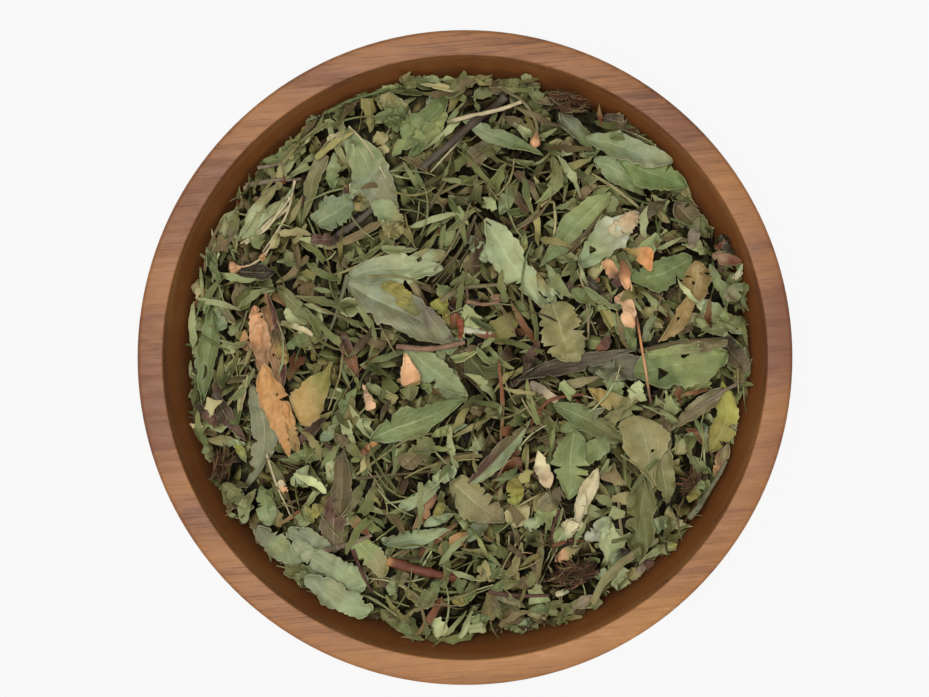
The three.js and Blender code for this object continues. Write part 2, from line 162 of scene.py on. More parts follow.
bpy.ops.mesh.primitive_plane_add(size=FLOOR_SIZE, location=(0, 0, -FLOOR_DROP))
floor = bpy.context.object
floor.name = "floor"
floor_values = {
    "Base Color": (FLOOR_TONE, FLOOR_TONE, FLOOR_TONE, 1),
    "Roughness": 0.9,
    "Specular IOR Level": 0.0,
    "Emission Color": (1, 1, 1, 1),
    "Emission Strength": FLOOR_GLOW,
}
floor.data.materials.append(new_finish("white_table", floor_values)[0])
floor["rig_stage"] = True
print("floor, m across:", FLOOR_SIZE)

# %% Light
WARM_WHITE = (1.0, 0.955, 0.875)
ROOM_LIGHT = (1.0, 0.92, 0.72, 1)
ROOM_STRENGTH = 0.18
LIT_POINT = (0, 0, 0.05)


def soft_light(name, place, size, power):
    """A square light that faces the object."""
    bpy.ops.object.light_add(type="AREA", location=place)
    light = bpy.context.object
    light.name = name
    light.data.size = size
    light.data.energy = power
    light.data.color = WARM_WHITE
    light.rotation_euler = (Vector(LIT_POINT) - Vector(place)).to_track_quat("-Z", "Y").to_euler()


soft_light("light_overhead", place=(-0.09, 0.03, 0.93), size=0.40, power=6.9)
soft_light("light_fill", place=(0.12, -0.6, 0.62), size=0.5, power=1.5)

sky = bpy.data.worlds.new("pale_room")
sky.use_nodes = True
sky_inputs = sky.node_tree.nodes["Background"].inputs
sky_inputs["Color"].default_value = ROOM_LIGHT
sky_inputs["Strength"].default_value = ROOM_STRENGTH
bpy.context.scene.world = sky
print("two lights and a pale sky")

# %% [markdown]
# ## Helpers for pieces
#
# Every finished piece rides on the one body, may stand for a node of the frame, and gets one of the
# finishes made here. Its object sits at the origin with its place in its mesh, as the nodes have it.

# %% Helpers for pieces
def select_only(piece):
    """Makes a piece the active one and the only one that is selected."""
    bpy.ops.object.select_all(action="DESELECT")
    bpy.context.view_layer.objects.active = piece
    piece.select_set(True)


def settle(piece, finish, *nodes, slot=None):
    """Gives a piece its finish, and declares what it rides on and what it stands for. Its slot is not
    used.
    """
    piece.data.materials.append(finish)
    select_only(piece)
    bpy.ops.object.transform_apply(location=True, rotation=True, scale=True)
    piece.select_set(False)
    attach(piece, "root")
    if nodes:
        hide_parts(*nodes)


def select_where(piece, test):
    """In edit mode, selects the points for which test(point) is true, and nothing else."""
    shape = bmesh.from_edit_mesh(piece.data)
    for edge in shape.edges:
        edge.select = False
    for face in shape.faces:
        face.select = False
    for point in shape.verts:
        point.select = bool(test(point.co))
    shape.select_flush(True)
    bmesh.update_edit_mesh(piece.data)


def smooth_by_angle(piece, degrees):
    """Shades a piece smooth, except where its faces meet more sharply than this."""
    select_only(piece)
    bpy.ops.object.shade_smooth_by_angle(angle=math.radians(degrees))


def face_outward():
    """In edit mode, turns all faces outward and leaves edit mode."""
    bpy.ops.mesh.select_all(action="SELECT")
    bpy.ops.mesh.normals_make_consistent(inside=False)
    bpy.ops.object.mode_set(mode="OBJECT")


def mark(piece, name, values, kind="FLOAT"):
    """Gives a piece's points an attribute: a number each, or a colour each."""
    field = "value" if kind == "FLOAT" else "color"
    piece.data.attributes.new(name, kind, "POINT").data.foreach_set(field, np.ravel(values))


print("helpers ready")

# %% [markdown]
# ## The bowl
#
# A bowl is turned on a lathe, so its form is one outline carried round an axis. It could be spun from
# a profile. Here it is grown from its foot instead: a filled circle is extruded ring by ring, up the
# outside, over the rim and down the inside, and each new ring is scaled to its radius. The rings
# follow the same curves as the solid of the frame, with crisper edges on the rim.
#
# The inside is darker than the rest. An attribute marks its points for the finish.

# %% The bowl's outline
FOOT_RADIUS = 33 * MM
FLOOR_THICKNESS = 7 * MM
RIM_WIDTH = 5.9 * MM
RIM_INNER_ROUND = 0.4 * MM
SIDE_DROP = 7.2 * MM  # from the rim down to where the side starts to draw in
FOOT_EDGE = 0.8 * MM
RINGS_OUTSIDE = 16
RINGS_INSIDE = 20
RINGS_ROUND = 6
TURNS = 168
SIDE_FLARE = (15 * MM, 0.4 * MM)  # how the side's curve leaves the foot
SIDE_PULL = (9 * MM, 20 * MM)  # and how it bends up to the rim
WALL_PULL = (7 * MM, 26 * MM)  # the same for the inside, from the rim down
FLOOR_REACH = 46 * MM
FLOOR_MIDDLE = 1 * MM  # radius of the last ring

rim_inner_radius = rim_radius - RIM_WIDTH
inside_top = rim_height - RIM_INNER_ROUND


def bezier(a, b, c, d, steps):
    """Points of a cubic curve, without its first."""
    points = []
    for i in range(1, steps + 1):
        t = i / steps
        s = 1 - t
        weights = (s**3, 3 * s * s * t, 3 * s * t * t, t**3)
        points.append(tuple(sum(w * p[k] for w, p in zip(weights, (a, b, c, d))) for k in (0, 1)))
    return points


def quarter(middle, radius, start, steps):
    """Points of a quarter circle, turning against the clock from a start angle in degrees."""
    angles = [math.radians(start + 90 * i / steps) for i in range(steps + 1)]
    return [(middle[0] + radius * math.cos(a), middle[1] + radius * math.sin(a)) for a in angles]


side_top = rim_height - SIDE_DROP
outside = bezier(
    (FOOT_RADIUS, FOOT_EDGE),
    (FOOT_RADIUS + SIDE_FLARE[0], FOOT_EDGE + SIDE_FLARE[1]),
    (rim_radius - SIDE_PULL[0], SIDE_PULL[1]),
    (rim_radius, side_top),
    RINGS_OUTSIDE,
)
rim = quarter(
    (rim_radius - RIM_OUTER_ROUND, rim_height - RIM_OUTER_ROUND), RIM_OUTER_ROUND, 0, RINGS_ROUND
) + quarter((rim_inner_radius + RIM_INNER_ROUND, inside_top), RIM_INNER_ROUND, 90, RINGS_ROUND)
inside = bezier(
    (rim_inner_radius, inside_top),
    (rim_inner_radius - WALL_PULL[0], WALL_PULL[1]),
    (FLOOR_REACH, FLOOR_THICKNESS),
    (FLOOR_MIDDLE, FLOOR_THICKNESS),
    RINGS_INSIDE,
)
outline = [(FOOT_RADIUS - FOOT_EDGE, 0), (FOOT_RADIUS, FOOT_EDGE), *outside, *rim, *inside]
print("rings:", len(outline))

# %% The bowl's form
def grown(name, outline, turns):
    """A closed round form: a filled circle, extruded and scaled ring by ring along an outline."""
    radius, height = outline[0]
    bpy.ops.mesh.primitive_circle_add(
        vertices=turns, radius=radius, fill_type="NGON", location=(0, 0, height)
    )
    made = bpy.context.object
    made.name = name
    bpy.ops.object.mode_set(mode="EDIT")
    for (radius, height), (next_radius, next_height) in zip(outline, outline[1:]):
        bpy.ops.mesh.extrude_region_move(
            TRANSFORM_OT_translate={"value": (0, 0, next_height - height)}
        )
        grow = next_radius / radius
        bpy.ops.transform.resize(value=(grow, grow, 1), center_override=(0, 0, next_height))
    face_outward()
    bpy.ops.object.transform_apply(location=True, rotation=True, scale=True)
    return made


bowl = grown("turned_bowl", outline, TURNS)
smooth_by_angle(bowl, 40)

inside_heights = [height for _, height in reversed(inside)]
inside_radii = [radius + 0.5 * RIM_INNER_ROUND for radius, _ in reversed(inside)]
oiled = []
for point in bowl.data.vertices:
    limit = np.interp(point.co.z, inside_heights, inside_radii)
    above_floor = point.co.z > FLOOR_THICKNESS / 2
    oiled.append(float(above_floor and math.hypot(point.co.x, point.co.y) < limit))
mark(bowl, "oiled", oiled)
print("bowl faces:", len(bowl.data.polygons), "oiled points:", int(sum(oiled)))

# %% [markdown]
# ## Shader helpers
#
# The finishes are built from nodes in code. Short helpers keep that readable: they set or link a
# socket, add a node with its values, do one sum, mix two colours, or start a node group with named
# sockets.

# %% Shader helpers
def put(tree, socket, value):
    """Links a socket to another, or sets its own value."""
    if isinstance(value, bpy.types.NodeSocket):
        tree.links.new(value, socket)
    else:
        socket.default_value = value


def put_all(tree, sockets, values):
    """Sets or links several sockets, each by its name or number."""
    for label, value in values.items():
        put(tree, sockets[label], value)


def node(tree, kind, values=None, **settings):
    """A node of one kind, with its settings and its input values."""
    made = tree.nodes.new("ShaderNode" + kind)
    for label, value in settings.items():
        setattr(made, label, value)
    put_all(tree, made.inputs, values or {})
    return made


def calc(tree, operation, *values):
    """The result of one Math node."""
    return node(tree, "Math", dict(enumerate(values)), operation=operation).outputs[0]


def ease(tree, value, low, high, start=0.0, end=1.0):
    """value from low to high becomes start to end, smoothly."""
    values = {"Value": value, "From Min": low, "From Max": high, "To Min": start, "To Max": end}
    return node(tree, "MapRange", values, interpolation_type="SMOOTHSTEP").outputs["Result"]


def blend_colours(tree, share, first, second, kind="MIX"):
    """Two colours mixed by a share."""
    made = node(tree, "Mix", data_type="RGBA", blend_type=kind, clamp_factor=True)
    put_all(tree, made.inputs, {"Factor": share, 6: first, 7: second})
    return made.outputs[2]


def noise(tree, place, scale, detail=2.0, roughness=0.5):
    """A noise value from 0 to 1."""
    values = {"Vector": place, "Scale": scale, "Detail": detail, "Roughness": roughness}
    return node(tree, "TexNoise", values).outputs["Fac"]


def stretched(tree, place, scale=(1, 1, 1), shift=(0, 0, 0), turn=(0, 0, 0)):
    """A place scaled on each axis, turned and shifted."""
    values = {"Vector": place, "Scale": scale, "Location": shift, "Rotation": turn}
    return node(tree, "Mapping", values).outputs[0]


def attribute(tree, name, kind="Fac"):
    """What the points of a piece carry under this name."""
    return node(tree, "Attribute", attribute_name=name).outputs[kind]


def add_bump(tree, shader, height, strength, distance):
    """Gives a shader's surface a fine relief."""
    values = {"Height": height, "Strength": strength, "Distance": distance}
    put(tree, shader.inputs["Normal"], node(tree, "Bump", values).outputs[0])


def group(name, inputs, outputs):
    """A node group with its sockets, and its input and output nodes."""
    tree = bpy.data.node_groups.new(name, "ShaderNodeTree")
    for label, kind, value in inputs:
        socket = tree.interface.new_socket(label, in_out="INPUT", socket_type="NodeSocket" + kind)
        if value is not None:
            socket.default_value = value
    for label, kind in outputs:
        tree.interface.new_socket(label, in_out="OUTPUT", socket_type="NodeSocket" + kind)
    return tree, tree.nodes.new("NodeGroupInput").outputs, tree.nodes.new("NodeGroupOutput").inputs


def placed(tree, made, values):
    """A group put into a material, with its own values."""
    shader_group = tree.nodes.new("ShaderNodeGroup")
    shader_group.node_tree = made
    put_all(tree, shader_group.inputs, values)
    return shader_group


def colour(red, green, blue):
    """A screen colour, 0 to 255, as the linear colour that a shader takes."""
    parts = [v / 255 for v in (red, green, blue)]
    return (*(p / 12.92 if p <= 0.04045 else ((p + 0.055) / 1.055) ** 2.4 for p in parts), 1)


def ramp(tree, value, stops, interpolation="LINEAR"):
    """Colours that follow a value. Each stop is a place on the ramp and a screen colour."""
    made = node(tree, "ValToRGB", {"Fac": value})
    made.color_ramp.interpolation = interpolation
    elements = made.color_ramp.elements
    for index, (position, tone) in enumerate(stops):
        stop = elements[index] if index < 2 else elements.new(position)
        stop.position = position
        stop.color = colour(*tone)
    return made.outputs[0]


print("shader helpers ready")

# %% [markdown]
# ## Wood
#
# The blank was sawn along the grain, so the growth rings are long cylinders that lie across the bowl.
# Cutting the bowl out of them gives near-straight stripes on the rim and long ovals on the side. A
# pattern that depends on the distance to the tree's axis gives all of that at once, because it reads
# the place in the wood and not the surface. Fine dark pores run along the grain, drawn out some
# forty times longer than they are wide.
#
# No board is even. Broad soft patches and a fine speckle shift the rings' tone, the wood grows lighter
# to both ends across the grain, and the dark figure is quieter through the bowl's middle.

# %% Wood grain group
GRAIN_TURN = math.radians(-5)
TREE_AXIS = (0, 0.03, -0.16)  # where the tree's axis passes, in metres from the foot
# how often each pattern repeats in a metre, along the grain and across it
WAVER_SCALE = (9, 26, 26)
STREAK_SCALE = (16, 480, 480)
PORE_SCALE = (70, 2600, 2600)
RING_WAVER = 0.016

grain_tree, grain_in, grain_out = group(
    "wood_grain",
    [("Place", "Vector", None), ("Rings", "Float", 150.0), ("Seed", "Float", 0.0)],
    [("Band", "Float"), ("Streak", "Float"), ("Pores", "Float")],
)
axis_shift = [-v for v in TREE_AXIS]
turned_place = stretched(grain_tree, grain_in["Place"], shift=axis_shift, turn=(0, 0, GRAIN_TURN))
waver = noise(grain_tree, stretched(grain_tree, turned_place, WAVER_SCALE), 1.0, 3.0)
split = node(grain_tree, "SeparateXYZ", {0: turned_place}).outputs
squares = [calc(grain_tree, "MULTIPLY", split[axis], split[axis]) for axis in "YZ"]
from_axis = calc(grain_tree, "SQRT", calc(grain_tree, "ADD", *squares))
wavered = calc(grain_tree, "MULTIPLY_ADD", waver, RING_WAVER, from_axis)
ring_count = calc(grain_tree, "MULTIPLY", wavered, grain_in["Rings"])
ring_place = node(grain_tree, "CombineXYZ", {"X": ring_count, "Y": grain_in["Seed"]}).outputs[0]
put(grain_tree, grain_out["Band"], noise(grain_tree, ring_place, 1.0, 5.0))
streak_place = stretched(grain_tree, turned_place, STREAK_SCALE)
put(grain_tree, grain_out["Streak"], noise(grain_tree, streak_place, 1.0, 4.0, 0.68))
pore_place = stretched(grain_tree, turned_place, PORE_SCALE)
put(grain_tree, grain_out["Pores"], noise(grain_tree, pore_place, 1.0, 1.0))
print("wood grain group:", len(grain_tree.nodes), "nodes")

# %% Wood tone
WOOD_TONES = [  # place on the ramp, colour
    (0.40, (122, 78, 56)),
    (0.47, (147, 99, 64)),
    (0.60, (166, 116, 69)),
    (0.68, (186, 138, 98)),
]
RINGS_PER_METRE = 150.0
BAND_SEED = 8.0
BAND_SHIFT = -0.04
LIGHTER_SIDE = -0.35  # the wood grows lighter to the lower side
LIGHTER_ENDS = 10.0  # and to both ends across the grain
PATCH_SCALE = (14, 34, 34)  # broad lighter and darker patches, longer along the grain
PATCH_SEED = 23.7
PATCH_SHARE = 0.4
SPECK_SCALE = (350, 900, 900)
SPECK_SHARE = 0.12

wood, wood_tree, wood_shader = new_finish("oiled_wood", {"Specular IOR Level": 0.38})
wood_place = node(wood_tree, "TexCoord").outputs["Object"]
grain_values = {"Place": wood_place, "Rings": RINGS_PER_METRE, "Seed": BAND_SEED}
grain = placed(wood_tree, grain_tree, grain_values).outputs
wood_split = node(wood_tree, "SeparateXYZ", {0: wood_place}).outputs
drift_place = calc(wood_tree, "MULTIPLY_ADD", wood_split["Y"], LIGHTER_ENDS, LIGHTER_SIDE)
lighter = calc(wood_tree, "MULTIPLY_ADD", wood_split["Y"], drift_place, BAND_SHIFT)
patch_place = stretched(wood_tree, wood_place, PATCH_SCALE, (PATCH_SEED, 0, 0))
patchy = calc(wood_tree, "SUBTRACT", noise(wood_tree, patch_place, 1.0), 0.5)
lighter = calc(wood_tree, "MULTIPLY_ADD", patchy, PATCH_SHARE, lighter)
speck_place = stretched(wood_tree, wood_place, SPECK_SCALE)
specks = calc(wood_tree, "SUBTRACT", noise(wood_tree, speck_place, 1.0, 2.0, 0.6), 0.5)
lighter = calc(wood_tree, "MULTIPLY_ADD", specks, SPECK_SHARE, lighter)
band = calc(wood_tree, "ADD", grain["Band"], lighter)
band_tone = ramp(wood_tree, band, WOOD_TONES)
print("wood tones:", len(WOOD_TONES))

# %% Streaks and pores
WOOD_DARK = colour(98, 60, 44)
WOOD_PORE = colour(66, 38, 26)
STREAKS_SHOW = 0.65
PORES_SHOW = 0.55
QUIET_WOOD = (20 * MM, 60 * MM)  # from quiet to full figure, on both sides of the middle
QUIET_SHARE = 0.4

in_dark_band = ease(wood_tree, band, 0.44, 0.58, 1.0, 0.3)
aside = calc(wood_tree, "ABSOLUTE", wood_split["Y"])
loudness = ease(wood_tree, aside, *QUIET_WOOD, QUIET_SHARE, 1.0)
figured = calc(wood_tree, "MULTIPLY", in_dark_band, loudness)
streaks = ease(wood_tree, grain["Streak"], 0.46, 0.70, 0.0, STREAKS_SHOW)
streak_share = calc(wood_tree, "MULTIPLY", streaks, figured)
streaked = blend_colours(wood_tree, streak_share, band_tone, WOOD_DARK)
pores = ease(wood_tree, grain["Pores"], 0.50, 0.70, 0.0, PORES_SHOW)
pore_share = calc(wood_tree, "MULTIPLY", pores, figured)
pored = blend_colours(wood_tree, pore_share, streaked, WOOD_PORE)
print("wood colours ready")

# %% [markdown]
# The inside of the bowl is darker than the rim and the side. The attribute that was put on its points
# says where. Under the rim it is evenly brown, with painted light in its last few millimetres, and
# painted shade darkens it down to where the leaf begins.

# %% Inside tone and shader
# The inside's darker brown, mixed over the wood's own tones.
INSIDE_TONE = colour(128, 77, 38)
INSIDE_TONE_SHARE = 0.92
# Painted shade darkens the inner wall towards the leaf, and painted light brightens it just under the
# rim.
HEAP_EDGE_HEIGHT = 42 * MM  # where the leaf meets the wall
PAINTED_SHADE_HEIGHTS = (HEAP_EDGE_HEIGHT - 2 * MM, HEAP_EDGE_HEIGHT + 7 * MM)  # darkest and full tone
DARKEST_PAINTED_WALL = 0.4
PAINTED_LIGHT_DROP = 6 * MM  # below the rim
BRIGHTEST_PAINTED_WALL = 1.15

inside_share = attribute(wood_tree, "oiled")
inside_toned = blend_colours(wood_tree, INSIDE_TONE_SHARE, pored, INSIDE_TONE)
# painted shade towards the leaf, then painted light under the rim
painted_shade_near_leaf = ease(wood_tree, wood_split["Z"], *PAINTED_SHADE_HEIGHTS, DARKEST_PAINTED_WALL, 1.0)
painted_light_under_rim = ease(wood_tree, wood_split["Z"], rim_height - PAINTED_LIGHT_DROP, rim_height, 1.0, BRIGHTEST_PAINTED_WALL)
painted_wall_light_and_shade = calc(wood_tree, "MULTIPLY", painted_shade_near_leaf, painted_light_under_rim)
painted_wall_light_tone = node(wood_tree, "CombineColor", {"Red": painted_wall_light_and_shade, "Green": painted_wall_light_and_shade, "Blue": painted_wall_light_and_shade}).outputs[0]
inside_with_painted_wall_light = blend_colours(wood_tree, 1.0, inside_toned, painted_wall_light_tone, "MULTIPLY")
wood_colour = blend_colours(wood_tree, inside_share, pored, inside_with_painted_wall_light)
put(wood_tree, wood_shader.inputs["Base Color"], wood_colour)
roughness = ease(wood_tree, grain["Streak"], 0.2, 0.8, 0.46, 0.62)
put(wood_tree, wood_shader.inputs["Roughness"], roughness)
relief = ease(wood_tree, grain["Pores"], 0.58, 0.74, 0.0, -1.0)
add_bump(wood_tree, wood_shader, relief, 0.25, 0.1 * MM)
settle(bowl, wood, "bowl")
print("bowl finished")

# %% [markdown]
# ## Dry leaf
#
# A dried stevia leaf is a thin, matt blade, greyish green and paler below, with a clear midrib, two
# long side nerves and a fine net between them. Edges and tips turn yellow or brown first. One group
# draws all that on the leaf's own map, where the first number runs across the blade and the second
# from the stalk to the tip. It gives a colour, a height and a roughness. The nerves are lines of equal
# distance from the midrib, so they close up towards both ends as the real ones do.

# %% Leaf group
MIDRIB_WIDTH = (0.11, 0.035)  # at the stalk and at the tip, as shares of half the leaf's width
SIDE_NERVES = 9.0  # on each half
SIDE_SLANT = -2.4
NET_CELLS = (14, 34, 1)
MOTTLE_SCALE = 420.0
DRIFT_SCALE = 130.0

leaf_tree, leaf_in, leaf_out = group(
    "dry_leaf",
    [
        ("Map", "Vector", None),
        ("Place", "Vector", None),
        ("Base", "Color", colour(140, 155, 115)),
        ("Tip", "Color", colour(140, 155, 115)),
        ("Turn", "Float", 0.6),
        ("Nerve", "Color", colour(175, 185, 145)),
        ("Nerves", "Float", 0.5),
        ("Spots", "Float", 0.3),
        ("Edge", "Float", 0.3),
        ("Shade", "Float", 1.0),
    ],
    [("Colour", "Color"), ("Height", "Float"), ("Roughness", "Float")],
)
mapped = node(leaf_tree, "SeparateXYZ", {0: leaf_in["Map"]}).outputs
across = calc(leaf_tree, "ABSOLUTE", calc(leaf_tree, "MULTIPLY_ADD", mapped["X"], 2.0, -1.0))
along = mapped["Y"]
mottle = noise(leaf_tree, leaf_in["Place"], MOTTLE_SCALE, 4.0, 0.6)
drift = noise(leaf_tree, leaf_in["Place"], DRIFT_SCALE)

midrib_width = ease(leaf_tree, along, 0.0, 1.0, *MIDRIB_WIDTH)
midrib = ease(leaf_tree, calc(leaf_tree, "DIVIDE", across, midrib_width), 0.35, 1.0, 1.0, 0.0)
nerve_gap = calc(leaf_tree, "ABSOLUTE", calc(leaf_tree, "SUBTRACT", across, 0.5))
long_nerve = ease(leaf_tree, nerve_gap, 0.015, 0.05, 0.45, 0.0)
rising = calc(leaf_tree, "MULTIPLY", along, SIDE_NERVES)
slant = calc(leaf_tree, "MULTIPLY_ADD", across, SIDE_SLANT, rising)
side_phase = calc(leaf_tree, "PINGPONG", calc(leaf_tree, "MULTIPLY_ADD", drift, 0.5, slant), 0.5)
side_nerve = ease(leaf_tree, side_phase, 0.02, 0.11, 0.6, 0.0)
net_values = {"Vector": stretched(leaf_tree, leaf_in["Map"], NET_CELLS), "Scale": 1.0}
net_cells = node(leaf_tree, "TexVoronoi", net_values, feature="DISTANCE_TO_EDGE")
net = ease(leaf_tree, net_cells.outputs["Distance"], 0.02, 0.16, 0.2, 0.0)
nerve_mask = midrib
for nerve in (long_nerve, side_nerve, net):
    nerve_mask = calc(leaf_tree, "MAXIMUM", nerve_mask, nerve)
print("nerves drawn")

# %% Leaf group, colour and relief
DULL = (0.18, 0.16, 0.07, 1)
SPOT_SCALE = 900.0
SPOT_BROWN = colour(92, 70, 44)
# Painted shade is made warmer: it takes out a little green and more blue.
PAINTED_SHADE_LESS_GREEN = 1.08  # a shaded leaf loses a little green
PAINTED_SHADE_LESS_BLUE = 1.4  # and more blue
GROOVE = -0.6

turn_at = calc(leaf_tree, "MULTIPLY_ADD", drift, 0.45, calc(leaf_tree, "SUBTRACT", along, 0.22))
turn_gap = calc(leaf_tree, "SUBTRACT", turn_at, leaf_in["Turn"])
turned_share = ease(leaf_tree, turn_gap, -0.14, 0.14)
body_colour = blend_colours(leaf_tree, turned_share, leaf_in["Base"], leaf_in["Tip"])
mottling = ease(leaf_tree, mottle, 0.3, 0.75, 0.0, 0.55)
mottled = blend_colours(leaf_tree, mottling, body_colour, DULL, "MULTIPLY")
softened = blend_colours(leaf_tree, 0.45, body_colour, mottled)
nerve_edge_and_highlight_share = calc(leaf_tree, "MULTIPLY", nerve_mask, leaf_in["Nerves"])
# A pale line along the leaf's edge: partly the paler cut edge, partly a painted highlight on the rim.
pale_edge_and_highlight = calc(leaf_tree, "MULTIPLY", ease(leaf_tree, across, 0.86, 0.98), leaf_in["Edge"])
nerve_edge_and_highlight_share = calc(leaf_tree, "MAXIMUM", nerve_edge_and_highlight_share, pale_edge_and_highlight)
nerved = blend_colours(leaf_tree, nerve_edge_and_highlight_share, softened, leaf_in["Nerve"])
at_edge = ease(leaf_tree, across, 0.8, 1.0)
edge_dry = calc(leaf_tree, "MULTIPLY", at_edge, ease(leaf_tree, drift, 0.45, 0.65))
spot_noise = noise(leaf_tree, leaf_in["Place"], SPOT_SCALE)
spots = calc(leaf_tree, "MAXIMUM", ease(leaf_tree, spot_noise, 0.66, 0.74), edge_dry)
spot_share = calc(leaf_tree, "MULTIPLY", spots, leaf_in["Spots"])
spotted = blend_colours(leaf_tree, spot_share, nerved, SPOT_BROWN)
# Shade darkens the leaf. For cuttings it holds their own lightness and the painted shade of their depth.
shade = leaf_in["Shade"]
less_green, less_blue = (
    calc(leaf_tree, "MINIMUM", shade, calc(leaf_tree, "POWER", shade, power))
    for power in (PAINTED_SHADE_LESS_GREEN, PAINTED_SHADE_LESS_BLUE)
)
shade_parts = {"Red": shade, "Green": less_green, "Blue": less_blue}
lightness_and_painted_shade = node(leaf_tree, "CombineColor", shade_parts).outputs[0]
put(leaf_tree, leaf_out["Colour"], blend_colours(leaf_tree, 1.0, spotted, lightness_and_painted_shade, "MULTIPLY"))
groove = calc(leaf_tree, "MULTIPLY", nerve_mask, GROOVE)
put(leaf_tree, leaf_out["Height"], calc(leaf_tree, "MULTIPLY_ADD", mottle, 0.8, groove))
put(leaf_tree, leaf_out["Roughness"], ease(leaf_tree, mottle, 0.3, 0.7, 0.5, 0.7))
print("leaf group:", len(leaf_tree.nodes), "nodes")

# %% [markdown]
# ## Leaf finishes
#
# Dry leaf has some three dozen tones, and a leaf often turns from one to another towards its tip, or
# differs on one half where it is folded: that half's tone holds its colour together with painted light
# and shade of the fold. One material for each leaf would be the plain way. Here all whole leaves share
# one finish, and each point of a leaf carries its tint and the strength of its nerves as attributes.
# The small cuttings share another finish: a tone number picks their colour from a ramp of all the
# colours in the mix, and a shade makes them lighter or darker.

# %% Leaf finishes
def table_rows(text):
    """The rows of a table. A field of several words becomes a list, and digits a number."""
    rows = []
    for line in text.strip().splitlines():
        fields = [
            [word if word[0].isalpha() else float(word) for word in field.split()]
            for field in line.split(",")
        ]
        rows.append([field[0] if len(field) == 1 else field for field in fields])
    return rows


# tone, the slot that it belongs to, its colour
TONES = table_rows("""
sage, sage, 138 151 112
dusty, sage, 144 153 123
pale, fresh, 168 180 140
mint, mint, 152 167 130
teal, teal, 124 140 108
green, green, 108 123 77
spring, green, 118 138 84
fresh, fresh, 140 153 100
olive, olive, 106 109 66
yellow, yellow, 146 138 70
lime, yellow, 160 160 76
mustard, yellow, 158 137 80
straw, straw, 143 138 94
cream, cream, 214 204 170
milk, cream, 202 206 184
linen, cream, 194 174 146
gold, gold, 164 138 90
honey, gold, 180 152 96
bronze, gold, 142 118 72
tan, tan, 198 150 98
toast, tan, 160 122 88
orange, tan, 222 158 106
peach, peach, 226 176 134
blush, peach, 242 200 162
grey, grey, 121 124 98
lilac, drab, 140 126 110
drab, drab, 132 124 93
bark, bark, 101 88 62
umber, dark, 62 47 36
plum, dark, 94 62 56
smoke, dark, 98 92 82
dark, dark, 38 28 23
rose, red, 150 118 98
brick, red, 152 80 54
red, red, 116 66 48
rust, red, 126 80 54
""")
slot_of_tone = {name: slot for name, slot, _ in TONES}
colour_of_tone = {name: np.array(colour(*parts)) for name, _, parts in TONES}

PALE_NERVE = colour(212, 212, 176)
LEAF_RELIEF = 0.25 * MM


def leaf_finish(name, gloss):
    """A finish from the leaf group, for pieces with a leaf map, its tree and its group's inputs."""
    finish, tree, shader = new_finish(name, {"Specular IOR Level": gloss})
    coordinates = node(tree, "TexCoord").outputs
    surface = placed(tree, leaf_tree, {"Map": coordinates["UV"], "Place": coordinates["Object"]})
    put(tree, shader.inputs["Base Color"], surface.outputs["Colour"])
    put(tree, shader.inputs["Roughness"], surface.outputs["Roughness"])
    add_bump(tree, shader, surface.outputs["Height"], 0.6, LEAF_RELIEF)
    return finish, tree, surface.inputs


whole_finish, whole_tree, whole_inputs = leaf_finish("dry_whole_leaf", 0.42)
tint = attribute(whole_tree, "tint", "Color")
whole_values = {
    "Base": tint,
    "Tip": tint,
    "Nerve": blend_colours(whole_tree, 0.5, tint, PALE_NERVE),
    "Nerves": attribute(whole_tree, "nerves"),
}
put_all(whole_tree, whole_inputs, whole_values)
print("tones:", len(TONES))

# %% [markdown]
# ## Leaf patterns
#
# Whole leaves differ in outline: egg-shaped, lance-shaped, spoon-shaped, or a torn scrap. Each outline
# is modelled once, as a flat sheet one unit long and at most one unit wide. It starts as a grid
# primitive, and every row of points is scaled to its width in edit mode. Teeth come from rows that
# widen slowly towards the tip and step back at once.

# %% Leaf patterns
STALK_WIDTH = 0.07  # of the widest place
LEAST_WIDTH = 0.02
TEETH_START = 0.22  # the share of a leaf's length that has no teeth
# outline: how it widens, how it narrows, teeth on each side, their depth
OUTLINES = {
    "ovate": (0.75, 0.95, 11, 0.13),
    "lance": (0.85, 1.15, 13, 0.08),
    "spatula": (1.5, 0.55, 14, 0.07),
    "scrap": (0.28, 0.3, 9, 0.2),
    "tip": (0.16, 0.9, 8, 0.14),
    "strap": (0.14, 0.22, 6, 0.08),
    "smooth": (0.7, 0.75, 3, 0.03),
    "lobed": (0.42, 0.32, 9, 0.15),
}


def width_share(outline, t):
    """How wide a leaf is at t of its length, as a share of its widest place."""
    rise, fall = OUTLINES[outline][:2]
    widest = rise / (rise + fall)
    return (t**rise * (1 - t) ** fall) / (widest**rise * (1 - widest) ** fall)


def tooth(t, teeth, depth):
    """A saw edge: 1 at each tooth's point, falling back by depth just after it."""
    if t < TEETH_START:
        return 1 - depth * 0.5 * t / TEETH_START
    return 1 - depth * (1 - (t * teeth) % 1)


def pattern(name, widths, columns):
    """A flat sheet whose rows have these widths."""
    rows = len(widths) - 1
    bpy.ops.mesh.primitive_grid_add(x_subdivisions=columns, y_subdivisions=rows, size=1)
    sheet = bpy.context.object
    sheet.name = name
    bpy.ops.object.mode_set(mode="EDIT")
    for row, width in enumerate(widths):
        height = row / rows - 0.5
        select_where(sheet, lambda place: abs(place.y - height) < 0.2 / rows)
        bpy.ops.transform.resize(value=(width, 1, 1), center_override=(0, height, 0))
    bpy.ops.object.mode_set(mode="OBJECT")
    return sheet


